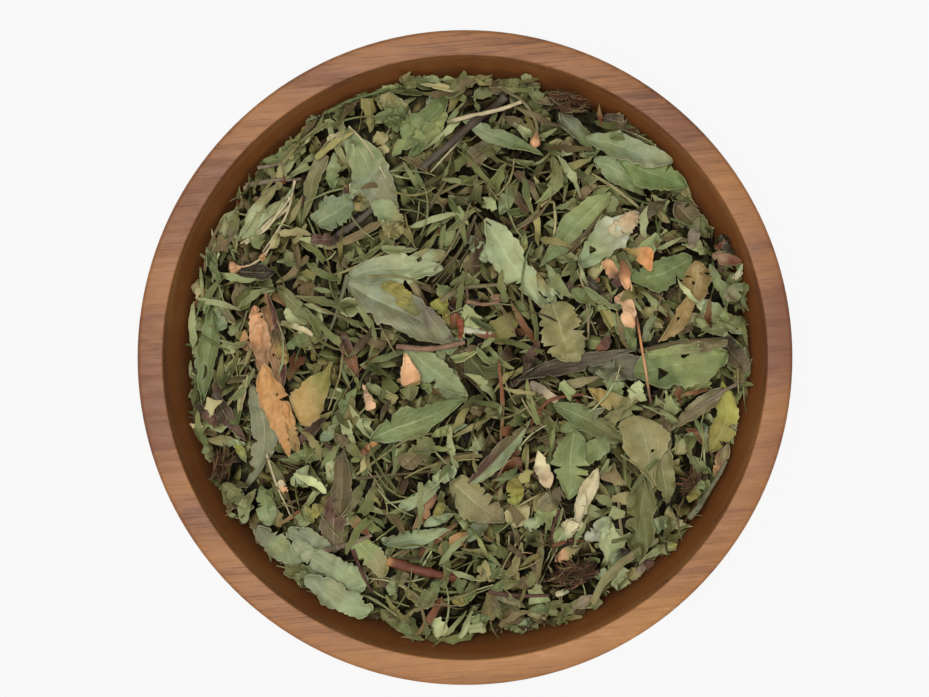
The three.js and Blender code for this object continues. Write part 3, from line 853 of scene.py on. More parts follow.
def leaf_widths(outline, rows):
    """Widths of all rows, from the stalk to the tip."""
    teeth, depth = OUTLINES[outline][2:]
    shares = []
    for row in range(rows + 1):
        t = row / rows
        share = width_share(outline, min(max(t, 0.004), 0.996))
        if outline == "lobed":
            share *= 1 - depth * (1 - abs(math.sin(math.pi * t * teeth))) ** 2
        else:
            share *= tooth(t, teeth, depth)
        shares.append(max(STALK_WIDTH if t < 0.5 else LEAST_WIDTH, share))
    return shares


FINE, COARSE = (40, 12), (24, 6)  # rows and columns
leaf_patterns = {}
for outline_name in OUTLINES:
    for size in (FINE, COARSE):
        label = f"pattern_{outline_name}_{size[0]}"
        leaf_patterns[outline_name, size] = pattern(label, leaf_widths(outline_name, size[0]), size[1])
print("patterns:", len(leaf_patterns))

# %% [markdown]
# ## How dry leaf lies
#
# Dried leaf lies where it falls: it rests on what is under it, tilts with it, and leaves dark gaps.
# A physics run of several thousand thin sheets would take far too long. Here the heap keeps a map of
# its own height, in cells under a millimetre wide. Each cutting is laid on that map: it takes on the
# slope below it, is lifted until it nearly clears the map, and then raises the map by its own
# thickness. A second map holds the undersides of the whole leaves, which nothing may pass.
#
# Lengths in these cells are in millimetres and are turned into metres where a mesh is written.

# %% The heap's maps
CELL = 0.7
REACH = 76.0
HEAP_EDGE = 42.0
DOME_RISE = 5.0
BANK_ROUND = 1.5  # the leaf stands this much higher against the wall
BANK_RISE = 5.0  # and this much more on the upper right
BANK_TURN = math.radians(37)
BANK_STEEP = 14  # how close to the wall the leaf starts to rise
RIPPLE = 0.55
HEAP_DEPTH = 8.4  # from the heap's mean top down to its dark core
HIGHEST = rim_height / MM + 0.9  # no leaf stands higher than this

cells_across = int(2 * REACH / CELL) + 1
cell_line = (np.arange(cells_across) + 0.5) * CELL - REACH
cell_x, cell_y = np.meshgrid(cell_line, cell_line)
wall_heights = [height / MM for _, height in reversed(inside)] + [rim_height / MM]
wall_radii = [radius / MM for radius, _ in reversed(inside)] + [rim_inner_radius / MM]


def wall_radius(height):
    """The radius of the bowl's inside at a height."""
    return np.interp(height, wall_heights, wall_radii)


EDGE_RADIUS = float(wall_radius(HEAP_EDGE))


def heap(x, y):
    """The mean height of the heap's top."""
    share = np.minimum(1, np.hypot(x, y) / EDGE_RADIUS)
    towards = np.clip((x * math.cos(BANK_TURN) + y * math.sin(BANK_TURN)) / EDGE_RADIUS, 0, 1)
    bank = (BANK_ROUND + BANK_RISE * towards**2) * share**BANK_STEEP
    waves_on_top = np.sin(0.11 * x + 1.3) * np.cos(0.13 * y) + 0.6 * np.sin(0.21 * y - 0.17 * x)
    return HEAP_EDGE + DOME_RISE * (1 - share**2) + RIPPLE * waves_on_top * (1 - share**6) + bank


heap_top = heap(cell_x, cell_y)
ground = heap_top - HEAP_DEPTH
ceiling = np.full_like(ground, HIGHEST)


def cells_at(x, y):
    """The map cells under these places."""
    column = np.clip(np.floor((np.asarray(x) + REACH) / CELL).astype(int), 0, cells_across - 1)
    row = np.clip(np.floor((np.asarray(y) + REACH) / CELL).astype(int), 0, cells_across - 1)
    return row, column


print("cells:", cells_across, "edge radius:", round(EDGE_RADIUS, 1))

# %% Undersides of what lies on top
def node_tree_of(name):
    """A node's mesh as a tree for ray casts, in millimetres."""
    mesh = bpy.data.objects[name].data
    points = [tuple(v / MM for v in vertex.co) for vertex in mesh.vertices]
    return BVHTree.FromPolygons(points, [tuple(face.vertices) for face in mesh.polygons])


tops = {
    name: node_tree_of(name)
    for name in frame["nodes"]
    if name.startswith(("leaf_", "stem_", "tuft_")) and name != "leaf_bed"
}
CLEARANCE = 0.1  # between a whole leaf and what lies under it
for name, tree in tops.items():
    low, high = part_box(name)
    row, column = cells_at((low[0] / MM, high[0] / MM), (low[1] / MM, high[1] / MM))
    for r in range(row[0], row[1] + 1):
        for c in range(column[0], column[1] + 1):
            hit = tree.ray_cast(Vector((cell_line[c], cell_line[r], 0)), Vector((0, 0, 1)))[0]
            if hit:
                ceiling[r, c] = min(ceiling[r, c], hit.z - CLEARANCE)
print("cells under leaves:", int((ceiling < HIGHEST).sum()))

# %% Shaping a thin sheet
def waves(x, y, length, luck):
    """A gentle random relief between about -1 and 1, with bumps of about this length."""
    total = np.zeros_like(x)
    for _ in range(5):
        turn = luck.uniform(0, 2 * math.pi)
        step = 2 * math.pi / (length * luck.uniform(0.7, 1.5))
        start = luck.uniform(0, 2 * math.pi)
        total += np.sin(step * (x * math.cos(turn) + y * math.sin(turn)) + start)
    return total / 3


def bent(points, roll=0.0, fold=0.0, twist=0.0, curl=0.0, bow=0.0):
    """Rolls a sheet's sides up, folds it on its midrib, twists it, curls it and bows it sideways."""
    x, y, z = points.T.copy()
    middle = bow * (1 - (y / np.abs(y).max()) ** 2)
    if roll:
        x, z = np.sin(x * roll) / roll, z + (1 - np.cos(x * roll)) / roll
    if fold:
        z = z + fold * np.abs(x)
        x = x / math.hypot(1, fold)
    if twist:
        cosine, sine = np.cos(y * twist), np.sin(y * twist)
        x, z = x * cosine - z * sine, x * sine + z * cosine
    x = x + middle
    if curl:
        radius = 1 / curl - z
        y, z = radius * np.sin(y * curl), 1 / curl - radius * np.cos(y * curl)
    return np.stack([x, y, z], axis=1)


def points_of(piece):
    """A piece's points, in millimetres."""
    flat = np.empty(len(piece.data.vertices) * 3)
    piece.data.vertices.foreach_get("co", flat)
    return flat.reshape(-1, 3) / MM


def set_points(piece, points):
    """Moves a piece's points to these, in millimetres."""
    piece.data.vertices.foreach_set("co", (points * MM).ravel())
    piece.data.update()


print("sheet helpers ready")

# %% [markdown]
# ## Cuttings
#
# The bed is a mix of a few kinds of cutting: rolled slivers, twisted strips, small toothed leaves,
# torn halves, folded leaves, tips, shreds, crumbs and thin stalks. Each kind is modelled once, at its
# real size, as a sheet of a few dozen faces: a grid primitive with shaped rows, then bent, then given
# its thickness by a Solidify modifier. Each copy is scaled a little, turned and laid on its own.

# %% Kinds of cutting
LEAF_THICKNESS = 0.26
VARIANTS = 5  # each kind is torn in this many ways
# kind: length, width, row widths as shares, columns, bends, number of copies
KINDS = {
    "broad_piece": (12, 7.6, (0.35, 0.85, 1.0, 0.8, 0.95, 0.5), 3, {"roll": 0.08, "curl": 0.03}, 100),
    "toothed_leaf": (13, 5.8, (0.1, 0.7, 0.55, 1.0, 0.8, 0.95, 0.5, 0.04), 2,
                     {"fold": 0.35, "curl": 0.04, "bow": 0.5}, 260),
    "folded_leaf": (14, 4.8, (0.12, 0.5, 0.85, 1.0, 0.8, 0.5, 0.05), 2,
                    {"fold": 0.9, "curl": 0.035, "bow": -0.6}, 170),
    "torn_half": (11, 5.0, (0.55, 1.0, 0.75, 0.95, 0.5, 0.3), 2,
                  {"roll": 0.14, "curl": -0.045, "bow": 0.8}, 330),
    "scrap": (8, 5.8, (0.5, 0.95, 0.7, 1.0, 0.35), 2, {"fold": -0.3, "twist": 0.07, "bow": 0.4}, 320),
    "torn_corner": (7, 6.0, (0.9, 0.5, 1.0, 0.6, 0.1), 2,
                    {"roll": 0.15, "twist": -0.06, "bow": -0.6}, 290),
    "rolled_leaf": (14, 4.4, (0.3, 0.8, 1.0, 0.9, 0.65, 0.2), 4, {"roll": 0.85, "curl": 0.03}, 170),
    "sliver": (11, 2.4, (0.3, 0.9, 1.0, 0.6, 0.25), 2, {"fold": 0.6, "curl": 0.05, "bow": 0.5}, 560),
    "strip": (12, 2.1, (0.5, 0.9, 0.7, 1.0, 0.7, 0.6, 0.2), 1,
              {"twist": 0.12, "curl": 0.035, "bow": -0.6}, 430),
    "curled_strip": (10, 2.8, (0.4, 1.0, 0.7, 0.9, 0.6, 0.2), 1, {"roll": 0.3, "curl": 0.13}, 230),
    "leaf_tip": (7, 3.8, (0.9, 1.0, 0.6, 0.05), 2, {"fold": 0.5, "curl": -0.07, "bow": 0.3}, 440),
    "strand": (15, 0.5, (0.8, 0.9, 1.0, 0.9, 1.0, 0.8, 0.6, 0.3), 1,
               {"twist": 0.2, "curl": 0.03, "bow": 1.2}, 780),
    "stalk": (17, 0.9, (0.9, 0.8, 1.0, 0.8, 0.9, 0.6), 2, {"fold": 1.3, "curl": 0.02, "bow": 0.5}, 230),
    "chip": (5, 3.4, (0.7, 1.0, 0.8, 0.4), 2, {"roll": 0.2, "twist": 0.1}, 620),
    "shred": (6.5, 1.4, (0.5, 1.0, 0.8, 0.3), 1, {"twist": 0.2, "curl": 0.06, "bow": 0.3}, 1000),
    "crumb": (3.8, 2.3, (0.5, 1.0, 0.4), 1, {"twist": 0.3, "curl": 0.08, "bow": 0.3}, 220),
}


def arrays_of(piece):
    """A small mesh as arrays: points in mm, corner points, corner map."""
    mesh = piece.data
    corners = np.empty(len(mesh.loops), dtype=np.int64)
    mesh.loops.foreach_get("vertex_index", corners)
    sheet_map = np.empty(len(mesh.loops) * 2)
    mesh.uv_layers[0].data.foreach_get("uv", sheet_map)
    return {"points": points_of(piece), "corners": corners, "map": sheet_map.reshape(-1, 2)}


def thicken(piece, thickness):
    """Gives a sheet its thickness."""
    select_only(piece)
    modifier = piece.modifiers.new("thickness", "SOLIDIFY")
    modifier.thickness = thickness * MM
    modifier.offset = 0.0
    bpy.ops.object.modifier_apply(modifier=modifier.name)


def between(rows, columns, fine=2):
    """Weights that fill a sheet's grid with closer points."""
    row_at = np.linspace(0, rows, rows * fine + 1)
    column_at = np.linspace(0, columns, columns * fine + 1)
    weights = np.zeros((len(row_at) * len(column_at), (rows + 1) * (columns + 1)))
    for i, r in enumerate(row_at):
        for j, c in enumerate(column_at):
            r0, c0 = min(int(r), rows - 1), min(int(c), columns - 1)
            for dr in (0, 1):
                for dc in (0, 1):
                    share = (1 - abs(r - r0 - dr)) * (1 - abs(c - c0 - dc))
                    weights[i * len(column_at) + j, (r0 + dr) * (columns + 1) + c0 + dc] += share
    return weights


def torn(flat, rows, columns, width, luck):
    """Moves the outer points of a flat sheet, so that its edge is uneven and finely jagged."""
    grid = flat.reshape(rows + 1, columns + 1, 3).copy()
    spacing = (flat[:, 1].max() - flat[:, 1].min()) / rows
    at = np.arange(rows + 1) * 1.0
    for side in (0, columns):
        swing = luck.uniform(0.06, 0.17) * waves(at, at * 0, 4.5, luck)
        grid[:, side, 0] += (swing + luck.uniform(-0.09, 0.09, rows + 1)) * width
        grid[:, side, 1] += luck.uniform(-0.6, 0.6, rows + 1) * spacing
    for end in (0, rows):
        grid[end, :, 1] += luck.uniform(-0.6, 0.6, columns + 1) * spacing
    return grid.reshape(-1, 3)


FINE_ROWS = 8  # rows of each cutting, which make its edge
UNEVEN = 0.05  # relief of a sheet, as a share of its width


def cutting(kind, length, width, shares, columns, bends, luck):
    """One cutting as arrays, torn and bent in its own way."""
    rows = max(FINE_ROWS, len(shares) - 1)
    widths = np.interp(np.linspace(0, 1, rows + 1), np.linspace(0, 1, len(shares)), shares)
    sheet = pattern(kind, [share * width / length for share in widths], columns)
    flat = torn(points_of(sheet) * MM * length, rows, columns, width, luck)
    flat[:, 2] += UNEVEN * width * waves(flat[:, 0], flat[:, 1], 3.5, luck)
    bends = {bend: value * luck.uniform(0.7, 1.7) for bend, value in bends.items()}
    set_points(sheet, bent(flat, **bends))
    fine = between(rows, columns) @ points_of(sheet)
    thicken(sheet, LEAF_THICKNESS)
    made = {**arrays_of(sheet), "fine": fine}
    bpy.data.objects.remove(sheet)
    return made


kinds = {}
for kind, (length, width, shares, columns, bends, _) in KINDS.items():
    for variant in range(VARIANTS):
        luck = np.random.default_rng(len(kind) * 31 + columns + 7 * variant)
        kinds[kind, variant] = cutting(kind, length, width, shares, columns, bends, luck)
print("faces of each kind:", {kind[0]: len(made["corners"]) // 4 for kind, made in kinds.items()})

# %% Laying one cutting
STEEPEST = 0.75
REST_GAP = 0.15  # between a cutting and what it rests on
MOST_PRESSED = 2.2  # a cutting is pressed down by this much under a leaf, and no more
MOST_SUNK = 0.6  # it may reach this far into a leaf where the wall has moved it
WALL_GAP = 0.45
LEAST_WALL_GAP = 0.2


def slope_below(x, y):
    """The slope of the heap under these places."""
    row, column = cells_at(x, y)
    spread = np.stack([np.ones_like(x), x - x.mean(), y - y.mean()], axis=1)
    fit = np.linalg.lstsq(spread, ground[row, column], rcond=None)[0]
    return fit[1], fit[2]


def turned(heading, slope_x, slope_y, flip):
    """Axes of a sheet that heads one way and lies on a slope."""
    up = np.array([-slope_x, -slope_y, 1.0])
    up /= np.linalg.norm(up)
    along = np.array([math.cos(heading), math.sin(heading), 0.0])
    along -= up * along.dot(up)
    along /= np.linalg.norm(along)
    side = np.cross(along, up)
    return np.stack([side * flip, along, up * flip], axis=0)


def laid(made, place, heading, scale, tilt, flip, resting=85):
    """Where a cutting comes to rest, or None where it has no room. Raises the heap's map."""
    fine = made["fine"] * scale
    flat_x = place[0] + fine[:, 1] * math.cos(heading)
    flat_y = place[1] + fine[:, 1] * math.sin(heading)
    slope_x, slope_y = slope_below(flat_x, flat_y)
    slope_x = min(STEEPEST, max(-STEEPEST, slope_x + tilt[0]))
    slope_y = min(STEEPEST, max(-STEEPEST, slope_y + tilt[1]))
    axes = turned(heading, slope_x, slope_y, flip)
    spread = fine @ axes
    x, y = spread[:, 0] + place[0], spread[:, 1] + place[1]
    row, column = cells_at(x, y)
    lift = np.percentile(ground[row, column] - spread[:, 2], resting) + REST_GAP
    z = spread[:, 2] + lift
    over = float((z + REST_GAP - ceiling[row, column]).max())
    if over > MOST_PRESSED:
        return None
    if over > 0:
        lift -= over
        z = z - over
    out = float((np.hypot(x, y) - wall_radius(z)).max()) + WALL_GAP
    if out > 0:
        away = math.hypot(*place)
        place = (place[0] * (1 - out / away), place[1] * (1 - out / away))
        x, y = spread[:, 0] + place[0], spread[:, 1] + place[1]
        if float((np.hypot(x, y) - wall_radius(z)).max()) > -LEAST_WALL_GAP:
            return None
        row, column = cells_at(x, y)
        if float((z + REST_GAP - ceiling[row, column]).max()) > MOST_SUNK:
            return None
    np.maximum.at(ground, (row, column), z + LEAF_THICKNESS / 2)
    return made["points"] * scale @ axes + np.array([place[0], place[1], lift])


def lowest_place(luck, tries=3):
    """Of a few random places, the one where the heap is lowest."""
    radius = EDGE_RADIUS * 1.02 * np.sqrt(luck.uniform(0, 1, tries))
    turn = luck.uniform(0, 2 * math.pi, tries)
    x, y = radius * np.cos(turn), radius * np.sin(turn)
    row, column = cells_at(x, y)
    best = int(np.argmin(ground[row, column] - heap_top[row, column]))
    return float(x[best]), float(y[best])


print("laying is ready")

# %% [markdown]
# ## The bed
#
# The large cuttings fall first and the small ones last, with a good part mixed, so that slivers and
# crumbs lie in the gaps and on the broad pieces. One object for each cutting would be slow, so the
# copies are written into a few joined meshes. Every copy keeps its own points, its own map and two
# numbers, its tone and its shade, as attributes for the finish.

# %% Let the cuttings fall
BED_SEED = 1764
BED_PIECES = 6
SIZE_MIXING = 0.33  # how much large and small cuttings are mixed as they fall
SMALLEST, LARGEST = (0.65, 0.65, 0.6), (1.3, 1.2, 1.7)
LEANING = 0.22
FACE_UP = 0.7  # this share lies with its upper face up
STALK_TONES = 0.72  # stalks take the straw and brown end of the tones
PATCH_SHADES = 1.2
TURNED_OFF = 0.3  # the common heading, off the line along the wall
HEADING_SPREAD = 1.7
SPREAD_LOST = 1.0  # at the wall
luck = np.random.default_rng(BED_SEED)


def patches(x, y):
    """Wide patches of the heap that are a little lighter or darker."""
    return 0.5 * (np.sin(0.13 * x + 0.09 * y + 2) + np.sin(0.11 * y - 0.17 * x))


def heading_at(x, y):
    """Cuttings lie more and more along the wall towards it."""
    spread = HEADING_SPREAD - SPREAD_LOST * min(1, math.hypot(x, y) / EDGE_RADIUS) ** 2
    along_wall = math.atan2(y, x) + math.pi / 2
    return along_wall + TURNED_OFF + luck.normal(0, spread) + math.pi * luck.integers(2)


fall = []
share = 1.0
for order, (kind, settings) in enumerate(KINDS.items()):
    for _ in range(int(settings[5] * share)):
        fall.append((luck.normal(order / len(KINDS), SIZE_MIXING), kind))
fall.sort()
cuttings = []
for _, kind in fall:
    place = lowest_place(luck)
    scale = luck.uniform(SMALLEST, LARGEST)
    tilt = luck.normal(0, LEANING, 2)
    flip = 1 if luck.uniform() < FACE_UP else -1
    made = kind, int(luck.integers(VARIANTS))
    points = laid(kinds[made], place, heading_at(*place), scale, tilt, flip)
    if points is not None:
        tone = luck.uniform(STALK_TONES, 1) if kind == "stalk" else luck.uniform()
        shade = luck.normal(0, 1.0) + PATCH_SHADES * float(patches(*place))
        cuttings.append((made, points, tone, shade))
mean_top = float((ground - heap_top)[np.hypot(cell_x, cell_y) < EDGE_RADIUS - 3].mean())
print("cuttings:", len(cuttings), "mean top over heap:", round(mean_top, 2))

# %% Joined copies
OPEN_BLUR = 8  # how wide around a place its depth is measured
# Painted shade in the heap's gaps: each point darkens with its depth below the blurred top around it.
PAINTED_DARK_DEPTH = 2.0  # this far below the top around it, a place is nearly black
DARKEST_PAINTED_GAP = 0.05
SHADE_STEP = 1.2  # how much lighter one step of shade is


def blurred(grid, times=1):
    """Each value becomes the mean of itself and its neighbours."""
    for _ in range(times):
        wide = np.pad(grid, 1, mode="edge")
        beside = wide[:-2, 1:-1] + wide[2:, 1:-1] + wide[1:-1, :-2] + wide[1:-1, 2:]
        grid = (beside + 2 * wide[1:-1, 1:-1]) / 6
    return grid


def painted_depth_shade(points):
    """Painted shade: 1 on top of the heap, falling towards its gaps."""
    row, column = cells_at(points[:, 0], points[:, 1])
    share = np.clip((open_top[row, column] - points[:, 2] - REST_GAP) / PAINTED_DARK_DEPTH, 0, 1)
    return 1 - (1 - DARKEST_PAINTED_GAP) * share * share * (3 - 2 * share)


def joined(name, copies):
    """One piece from many laid copies: kind, points, tone and shade of each."""
    mesh = bpy.data.meshes.new(name)
    points = np.concatenate([copy[1] for copy in copies])
    counts = [len(copy[1]) for copy in copies]
    starts = np.cumsum([0, *counts[:-1]])
    corners = np.concatenate([kinds[copy[0]]["corners"] + s for copy, s in zip(copies, starts)])
    sheet_map = np.concatenate([kinds[copy[0]]["map"] for copy in copies])
    faces = len(corners) // 4
    mesh.vertices.add(len(points))
    mesh.vertices.foreach_set("co", (points * MM).ravel())
    mesh.loops.add(len(corners))
    mesh.loops.foreach_set("vertex_index", corners)
    mesh.polygons.add(faces)
    mesh.polygons.foreach_set("loop_start", np.arange(faces) * 4)
    mesh.update(calc_edges=True)
    mesh.uv_layers.new(name="UVMap").data.foreach_set("uv", sheet_map.ravel())
    made = bpy.data.objects.new(name, mesh)
    bpy.context.collection.objects.link(made)
    mark(made, "tone", np.repeat([copy[2] for copy in copies], counts))
    shades = np.repeat([SHADE_STEP ** copy[3] for copy in copies], counts)
    # the shade attribute: each copy's own lightness times the painted shade of its depth
    mark(made, "shade", shades * painted_depth_shade(points))
    mesh.shade_smooth()
    mesh.set_sharp_from_angle(angle=math.radians(55))
    return made


print("joining is ready")

# %% [markdown]
# ## Finish of the mix
#
# Cut stevia is not one green. Most of it is greyish sage and olive, some is fresh green, and some has
# turned straw, brown or nearly black. A colour ramp with hard steps holds the whole range, and each
# cutting's tone picks one. Its shade then makes it a little lighter or darker, and the leaf group
# draws its nerves and mottling.

# %% Mix finish
MIX_TONES = [  # share of the mix, colour
    (0.11, (134, 144, 100)),
    (0.10, (148, 159, 115)),
    (0.12, (110, 118, 71)),
    (0.10, (92, 103, 60)),
    (0.08, (168, 177, 134)),
    (0.08, (140, 134, 83)),
    (0.07, (115, 129, 88)),
    (0.06, (76, 81, 46)),
    (0.06, (156, 148, 104)),
    (0.06, (126, 109, 80)),
    (0.06, (97, 81, 56)),
    (0.05, (75, 55, 40)),
    (0.03, (184, 176, 132)),
    (0.02, (122, 74, 50)),
]
TUFT_TONES = [
    (0.3, (78, 52, 40)),
    (0.22, (102, 70, 54)),
    (0.18, (52, 35, 27)),
    (0.15, (126, 96, 74)),
    (0.15, (112, 110, 72)),
]

MIX_NERVES = 0.35


def mix_finish(name, tones, tip, nerve):
    """The finish of all cuttings: colour by tone, lightness by shade."""
    finish, tree, inputs = leaf_finish(name, 0.22)
    starts = np.cumsum([0, *(share for share, _ in tones)])
    stops = [(float(start), tone) for start, (_, tone) in zip(starts, tones)]
    tinted = ramp(tree, attribute(tree, "tone"), stops, "CONSTANT")
    values = {
        "Base": tinted,
        "Tip": blend_colours(tree, 0.35, tinted, colour(*tip)),
        "Nerve": blend_colours(tree, 0.5, tinted, colour(*nerve)),
        "Nerves": MIX_NERVES,
        # Shade holds each cutting's own lightness and the painted shade of its depth in the heap.
        "Shade": attribute(tree, "shade"),
    }
    put_all(tree, inputs, values)
    return finish


mixed = mix_finish("dry_mix", MIX_TONES, (152, 147, 104), (198, 200, 162))
tuft_finish = mix_finish("dry_bracts", TUFT_TONES, (126, 98, 78), (150, 122, 102))
print("finishes of the mix ready")

# %% [markdown]
# ## The core of the bed
#
# Between the top cuttings one looks down into matted leaf in deep shade. A closed body fills the bowl up
# to a few millimetres under the top, so no light comes through from below, and its near-black brown is
# painted shadow. It is grown from a circle like the bowl, up along the wall and then in over the top,
# and its top points are lowered and raised at random.

# %% Core
CORE_CLEARANCE = 0.6
CORE_TURNS = 64
CORE_BASE = FLOOR_THICKNESS / MM + 1.5
CORE_WAVES = 0.7
CORE_SINKS = 0.5
core_heights = np.linspace(CORE_BASE, HEAP_EDGE - HEAP_DEPTH, 9)
core_outline = [(float(wall_radius(h)) - CORE_CLEARANCE, float(h)) for h in core_heights]
top_radius, top_height = core_outline[-1]
for share in np.linspace(0.94, 0.04, 14):
    core_outline.append((top_radius * share, top_height + DOME_RISE * (1 - share**2)))
core = grown("litter_core", [(r * MM, h * MM) for r, h in core_outline], CORE_TURNS)
core_points = points_of(core)
on_top = core_points[:, 2] > top_height - 0.2
core_waves = waves(core_points[on_top, 0], core_points[on_top, 1], 9.0, luck)
core_points[on_top, 2] += CORE_WAVES * core_waves - CORE_SINKS
set_points(core, core_points)
bpy.ops.object.shade_smooth()

core_values = {"Roughness": 0.9, "Specular IOR Level": 0.1}
core_finish, core_tree, core_shader = new_finish("matted_leaf", core_values)
core_place = node(core_tree, "TexCoord").outputs["Object"]
fibres = noise(core_tree, stretched(core_tree, core_place, (500, 900, 500)), 1.0, 4.0, 0.7)
fibre_share = ease(core_tree, fibres, 0.35, 0.7)
# The core's near-black brown is painted shadow, over a faint pattern of fibres.
core_painted_shadow_tone = blend_colours(core_tree, fibre_share, colour(18, 12, 4), colour(46, 36, 16))
put(core_tree, core_shader.inputs["Base Color"], core_painted_shadow_tone)
add_bump(core_tree, core_shader, fibres, 0.8, 0.6 * MM)
settle(core, core_finish, "leaf_bed")
print("core faces:", len(core.data.polygons))

# %% [markdown]
# ## Whole leaves
#
# On the heap lie the whole leaves that one notices first. Each is a copy of one of the patterns, laid
# from its stalk to its tip. It follows the solid it stands for, and where its raised edges would
# touch something, it is lifted. Each then gets its own fold, curled edges, wrinkles and holes, and
# last its thickness.

# %% Heights for a whole leaf
SOLID_HALF = 0.35  # half the thickness of a leaf's solid
on_leaf = np.zeros(ground.shape, dtype=bool)  # where a whole leaf or a stem lies


def height_of(name, x, y, middle=False):
    """The height of a node's top, or of its middle, at these places, or of its nearest point."""
    tree = tops[name]
    heights = np.empty(x.shape)
    for index in np.ndindex(x.shape):
        px, py = x[index], y[index]
        top = tree.ray_cast(Vector((px, py, 100)), Vector((0, 0, -1)))[0]
        under = tree.ray_cast(Vector((px, py, 0)), Vector((0, 0, 1)))[0] if middle else top
        if top is None or under is None:
            top = under = tree.find_nearest(Vector((px, py, heap(px, py) + 2)))[0]
        heights[index] = (top.z + under.z) / 2
    return heights


def ragged(side, length, luck, tears):
    """How far each row reaches on either side, as a share: uneven, with a few tears."""
    rows = side.shape[0]
    at, flat = np.linspace(0, length, rows), np.zeros(rows)
    shares = []
    for _ in range(2):
        share = 1 + 0.14 * waves(at, flat, 6.0, luck) + 0.08 * waves(at, flat, 2.0, luck)
        for _ in range(luck.poisson(tears)):
            row = luck.integers(5, rows - 4)
            depth = luck.uniform(0.3, 0.75)
            share[row] *= 1 - depth
            share[row + 1] *= 1 - depth * luck.uniform(0.1, 0.9)
        shares.append(share)
    return np.where(side < 0, shares[0][:, None], shares[1][:, None])


def leaf_sheet(name, outline, size, base, tip, width, bow, tears, luck):
    """A copy of a pattern, and its places on the plan as a grid."""
    sheet = leaf_patterns[outline, size].copy()
    sheet.data = sheet.data.copy()
    sheet.name = name
    bpy.context.collection.objects.link(sheet)
    grid = (points_of(sheet) * MM).reshape(size[0] + 1, size[1] + 1, 3)
    base, tip = np.array(base), np.array(tip)
    length = float(np.hypot(*(tip - base)))
    ahead = (tip - base) / length
    right = np.array([ahead[1], -ahead[0]])
    along = grid[:, :, 1] + 0.5
    slide = np.sin(along * luck.uniform(8, 15) + luck.uniform(0, 6))
    along = along + 0.13 * along * (1 - along) * slide
    across = grid[:, :, 0] * width * ragged(grid[:, :, 0], length, luck, tears)
    sway = 0.012 * length * np.sin(along * 7 + luck.uniform(0, 6))
    middle = -bow * 4 * along * (1 - along) + sway
    skew = luck.uniform(-0.5, 0.5, 2)
    ends = across * (skew[0] * (1 - along) ** 3 + skew[1] * along**3)
    x = base[0] + ahead[0] * (along * length + ends) + right[0] * (across + middle)
    y = base[1] + ahead[1] * (along * length + ends) + right[1] * (across + middle)
    return sheet, x, y, along, across, length


def tint_leaf(sheet, tones, nerves, along, side, spread, luck):
    """Gives each point its tint: from base to tip, with the third tone on the leaf's right half, which
    holds that half's colour with painted light and shade of the fold.
    """
    tints = [colour_of_tone[tone][:3] for tone in tones]
    share = np.clip((along + 0.12 * spread - 0.28) / 0.44, 0, 1)[:, :, None]
    tint = tints[0] + (tints[1] - tints[0]) * share * share * (3 - 2 * share)
    if len(tints) > 2:
        tint = np.where(side[:, :, None] > 0.04, tints[2], tint)
    hue = np.roll(spread, 6, axis=0)[:, :, None] * np.array((0.05, 0.0, -0.08))
    tint = tint * (1 + 0.11 * spread[:, :, None] + hue + luck.normal(0, 0.05))
    full = np.concatenate([np.clip(tint, 0, 1), np.ones((*along.shape, 1))], axis=2)
    mark(sheet, "tint", full, "FLOAT_COLOR")
    mark(sheet, "nerves", np.full(along.size, nerves))


print("a leaf can be shaped and tinted")

# %% Holes in a leaf
HOLE_CORNERS = 3
HOLE_REACH = 0.75  # of the radius, to the middle of a side


def cut_holes(sheet, holes, along, across, length):
    """Cuts holes with a few corners: share of length, mm from the midrib, radius in mm."""
    if not holes:
        return
    select_only(sheet)
    bpy.ops.object.mode_set(mode="EDIT")
    bpy.ops.mesh.select_all(action="DESELECT")
    shape = bmesh.from_edit_mesh(sheet.data)
    along, across = along.ravel(), across.ravel()
    shape.faces.ensure_lookup_table()
    for t, u, r in holes:
        inner = []
        for face in shape.faces:
            corners = [corner.index for corner in face.verts]
            at, off = along[corners].mean() * length, across[corners].mean()
            if math.hypot(at - t * length, off - u) < r:
                inner.append(face)
        ring = list(dict.fromkeys(point for face in inner for point in face.verts))
        if not inner or any(point.is_boundary for point in ring):
            continue
        middle = sum((point.co for point in ring), Vector()) / len(ring)
        for point in ring:
            if all(face in inner for face in point.link_faces):
                continue
            turn = math.atan2(point.co.y - middle.y, point.co.x - middle.x) % (math.tau / HOLE_CORNERS)
            reach = HOLE_REACH / math.cos(turn - math.pi / HOLE_CORNERS)
            away = point.co - middle
            point.co = middle + away * (reach * r * MM / away.length)
        for face in inner:
            face.select = True
    bmesh.update_edit_mesh(sheet.data)
    bpy.ops.mesh.delete(type="FACE")
    bpy.ops.object.mode_set(mode="OBJECT")


print("holes have corners:", HOLE_CORNERS)

# %% [markdown]
# A whole leaf follows its solid, or the heap where it has none. Where something higher lies under it
# the leaf is lifted, and the lift is spread to its neighbours, so that it stays a smooth blade.

# %% Laying a whole leaf
LEAF_GAP = 0.08  # between a whole leaf and what lies under it
LEAF_FROM_WALL = 0.4
LYING = 0.2  # how far a leaf without a solid stands over the softened heap
LEAST_HALF = 0.2  # half width that a leaf's ends are taken to have
LIFT_SPREAD = 6  # rows over which a lift dies away


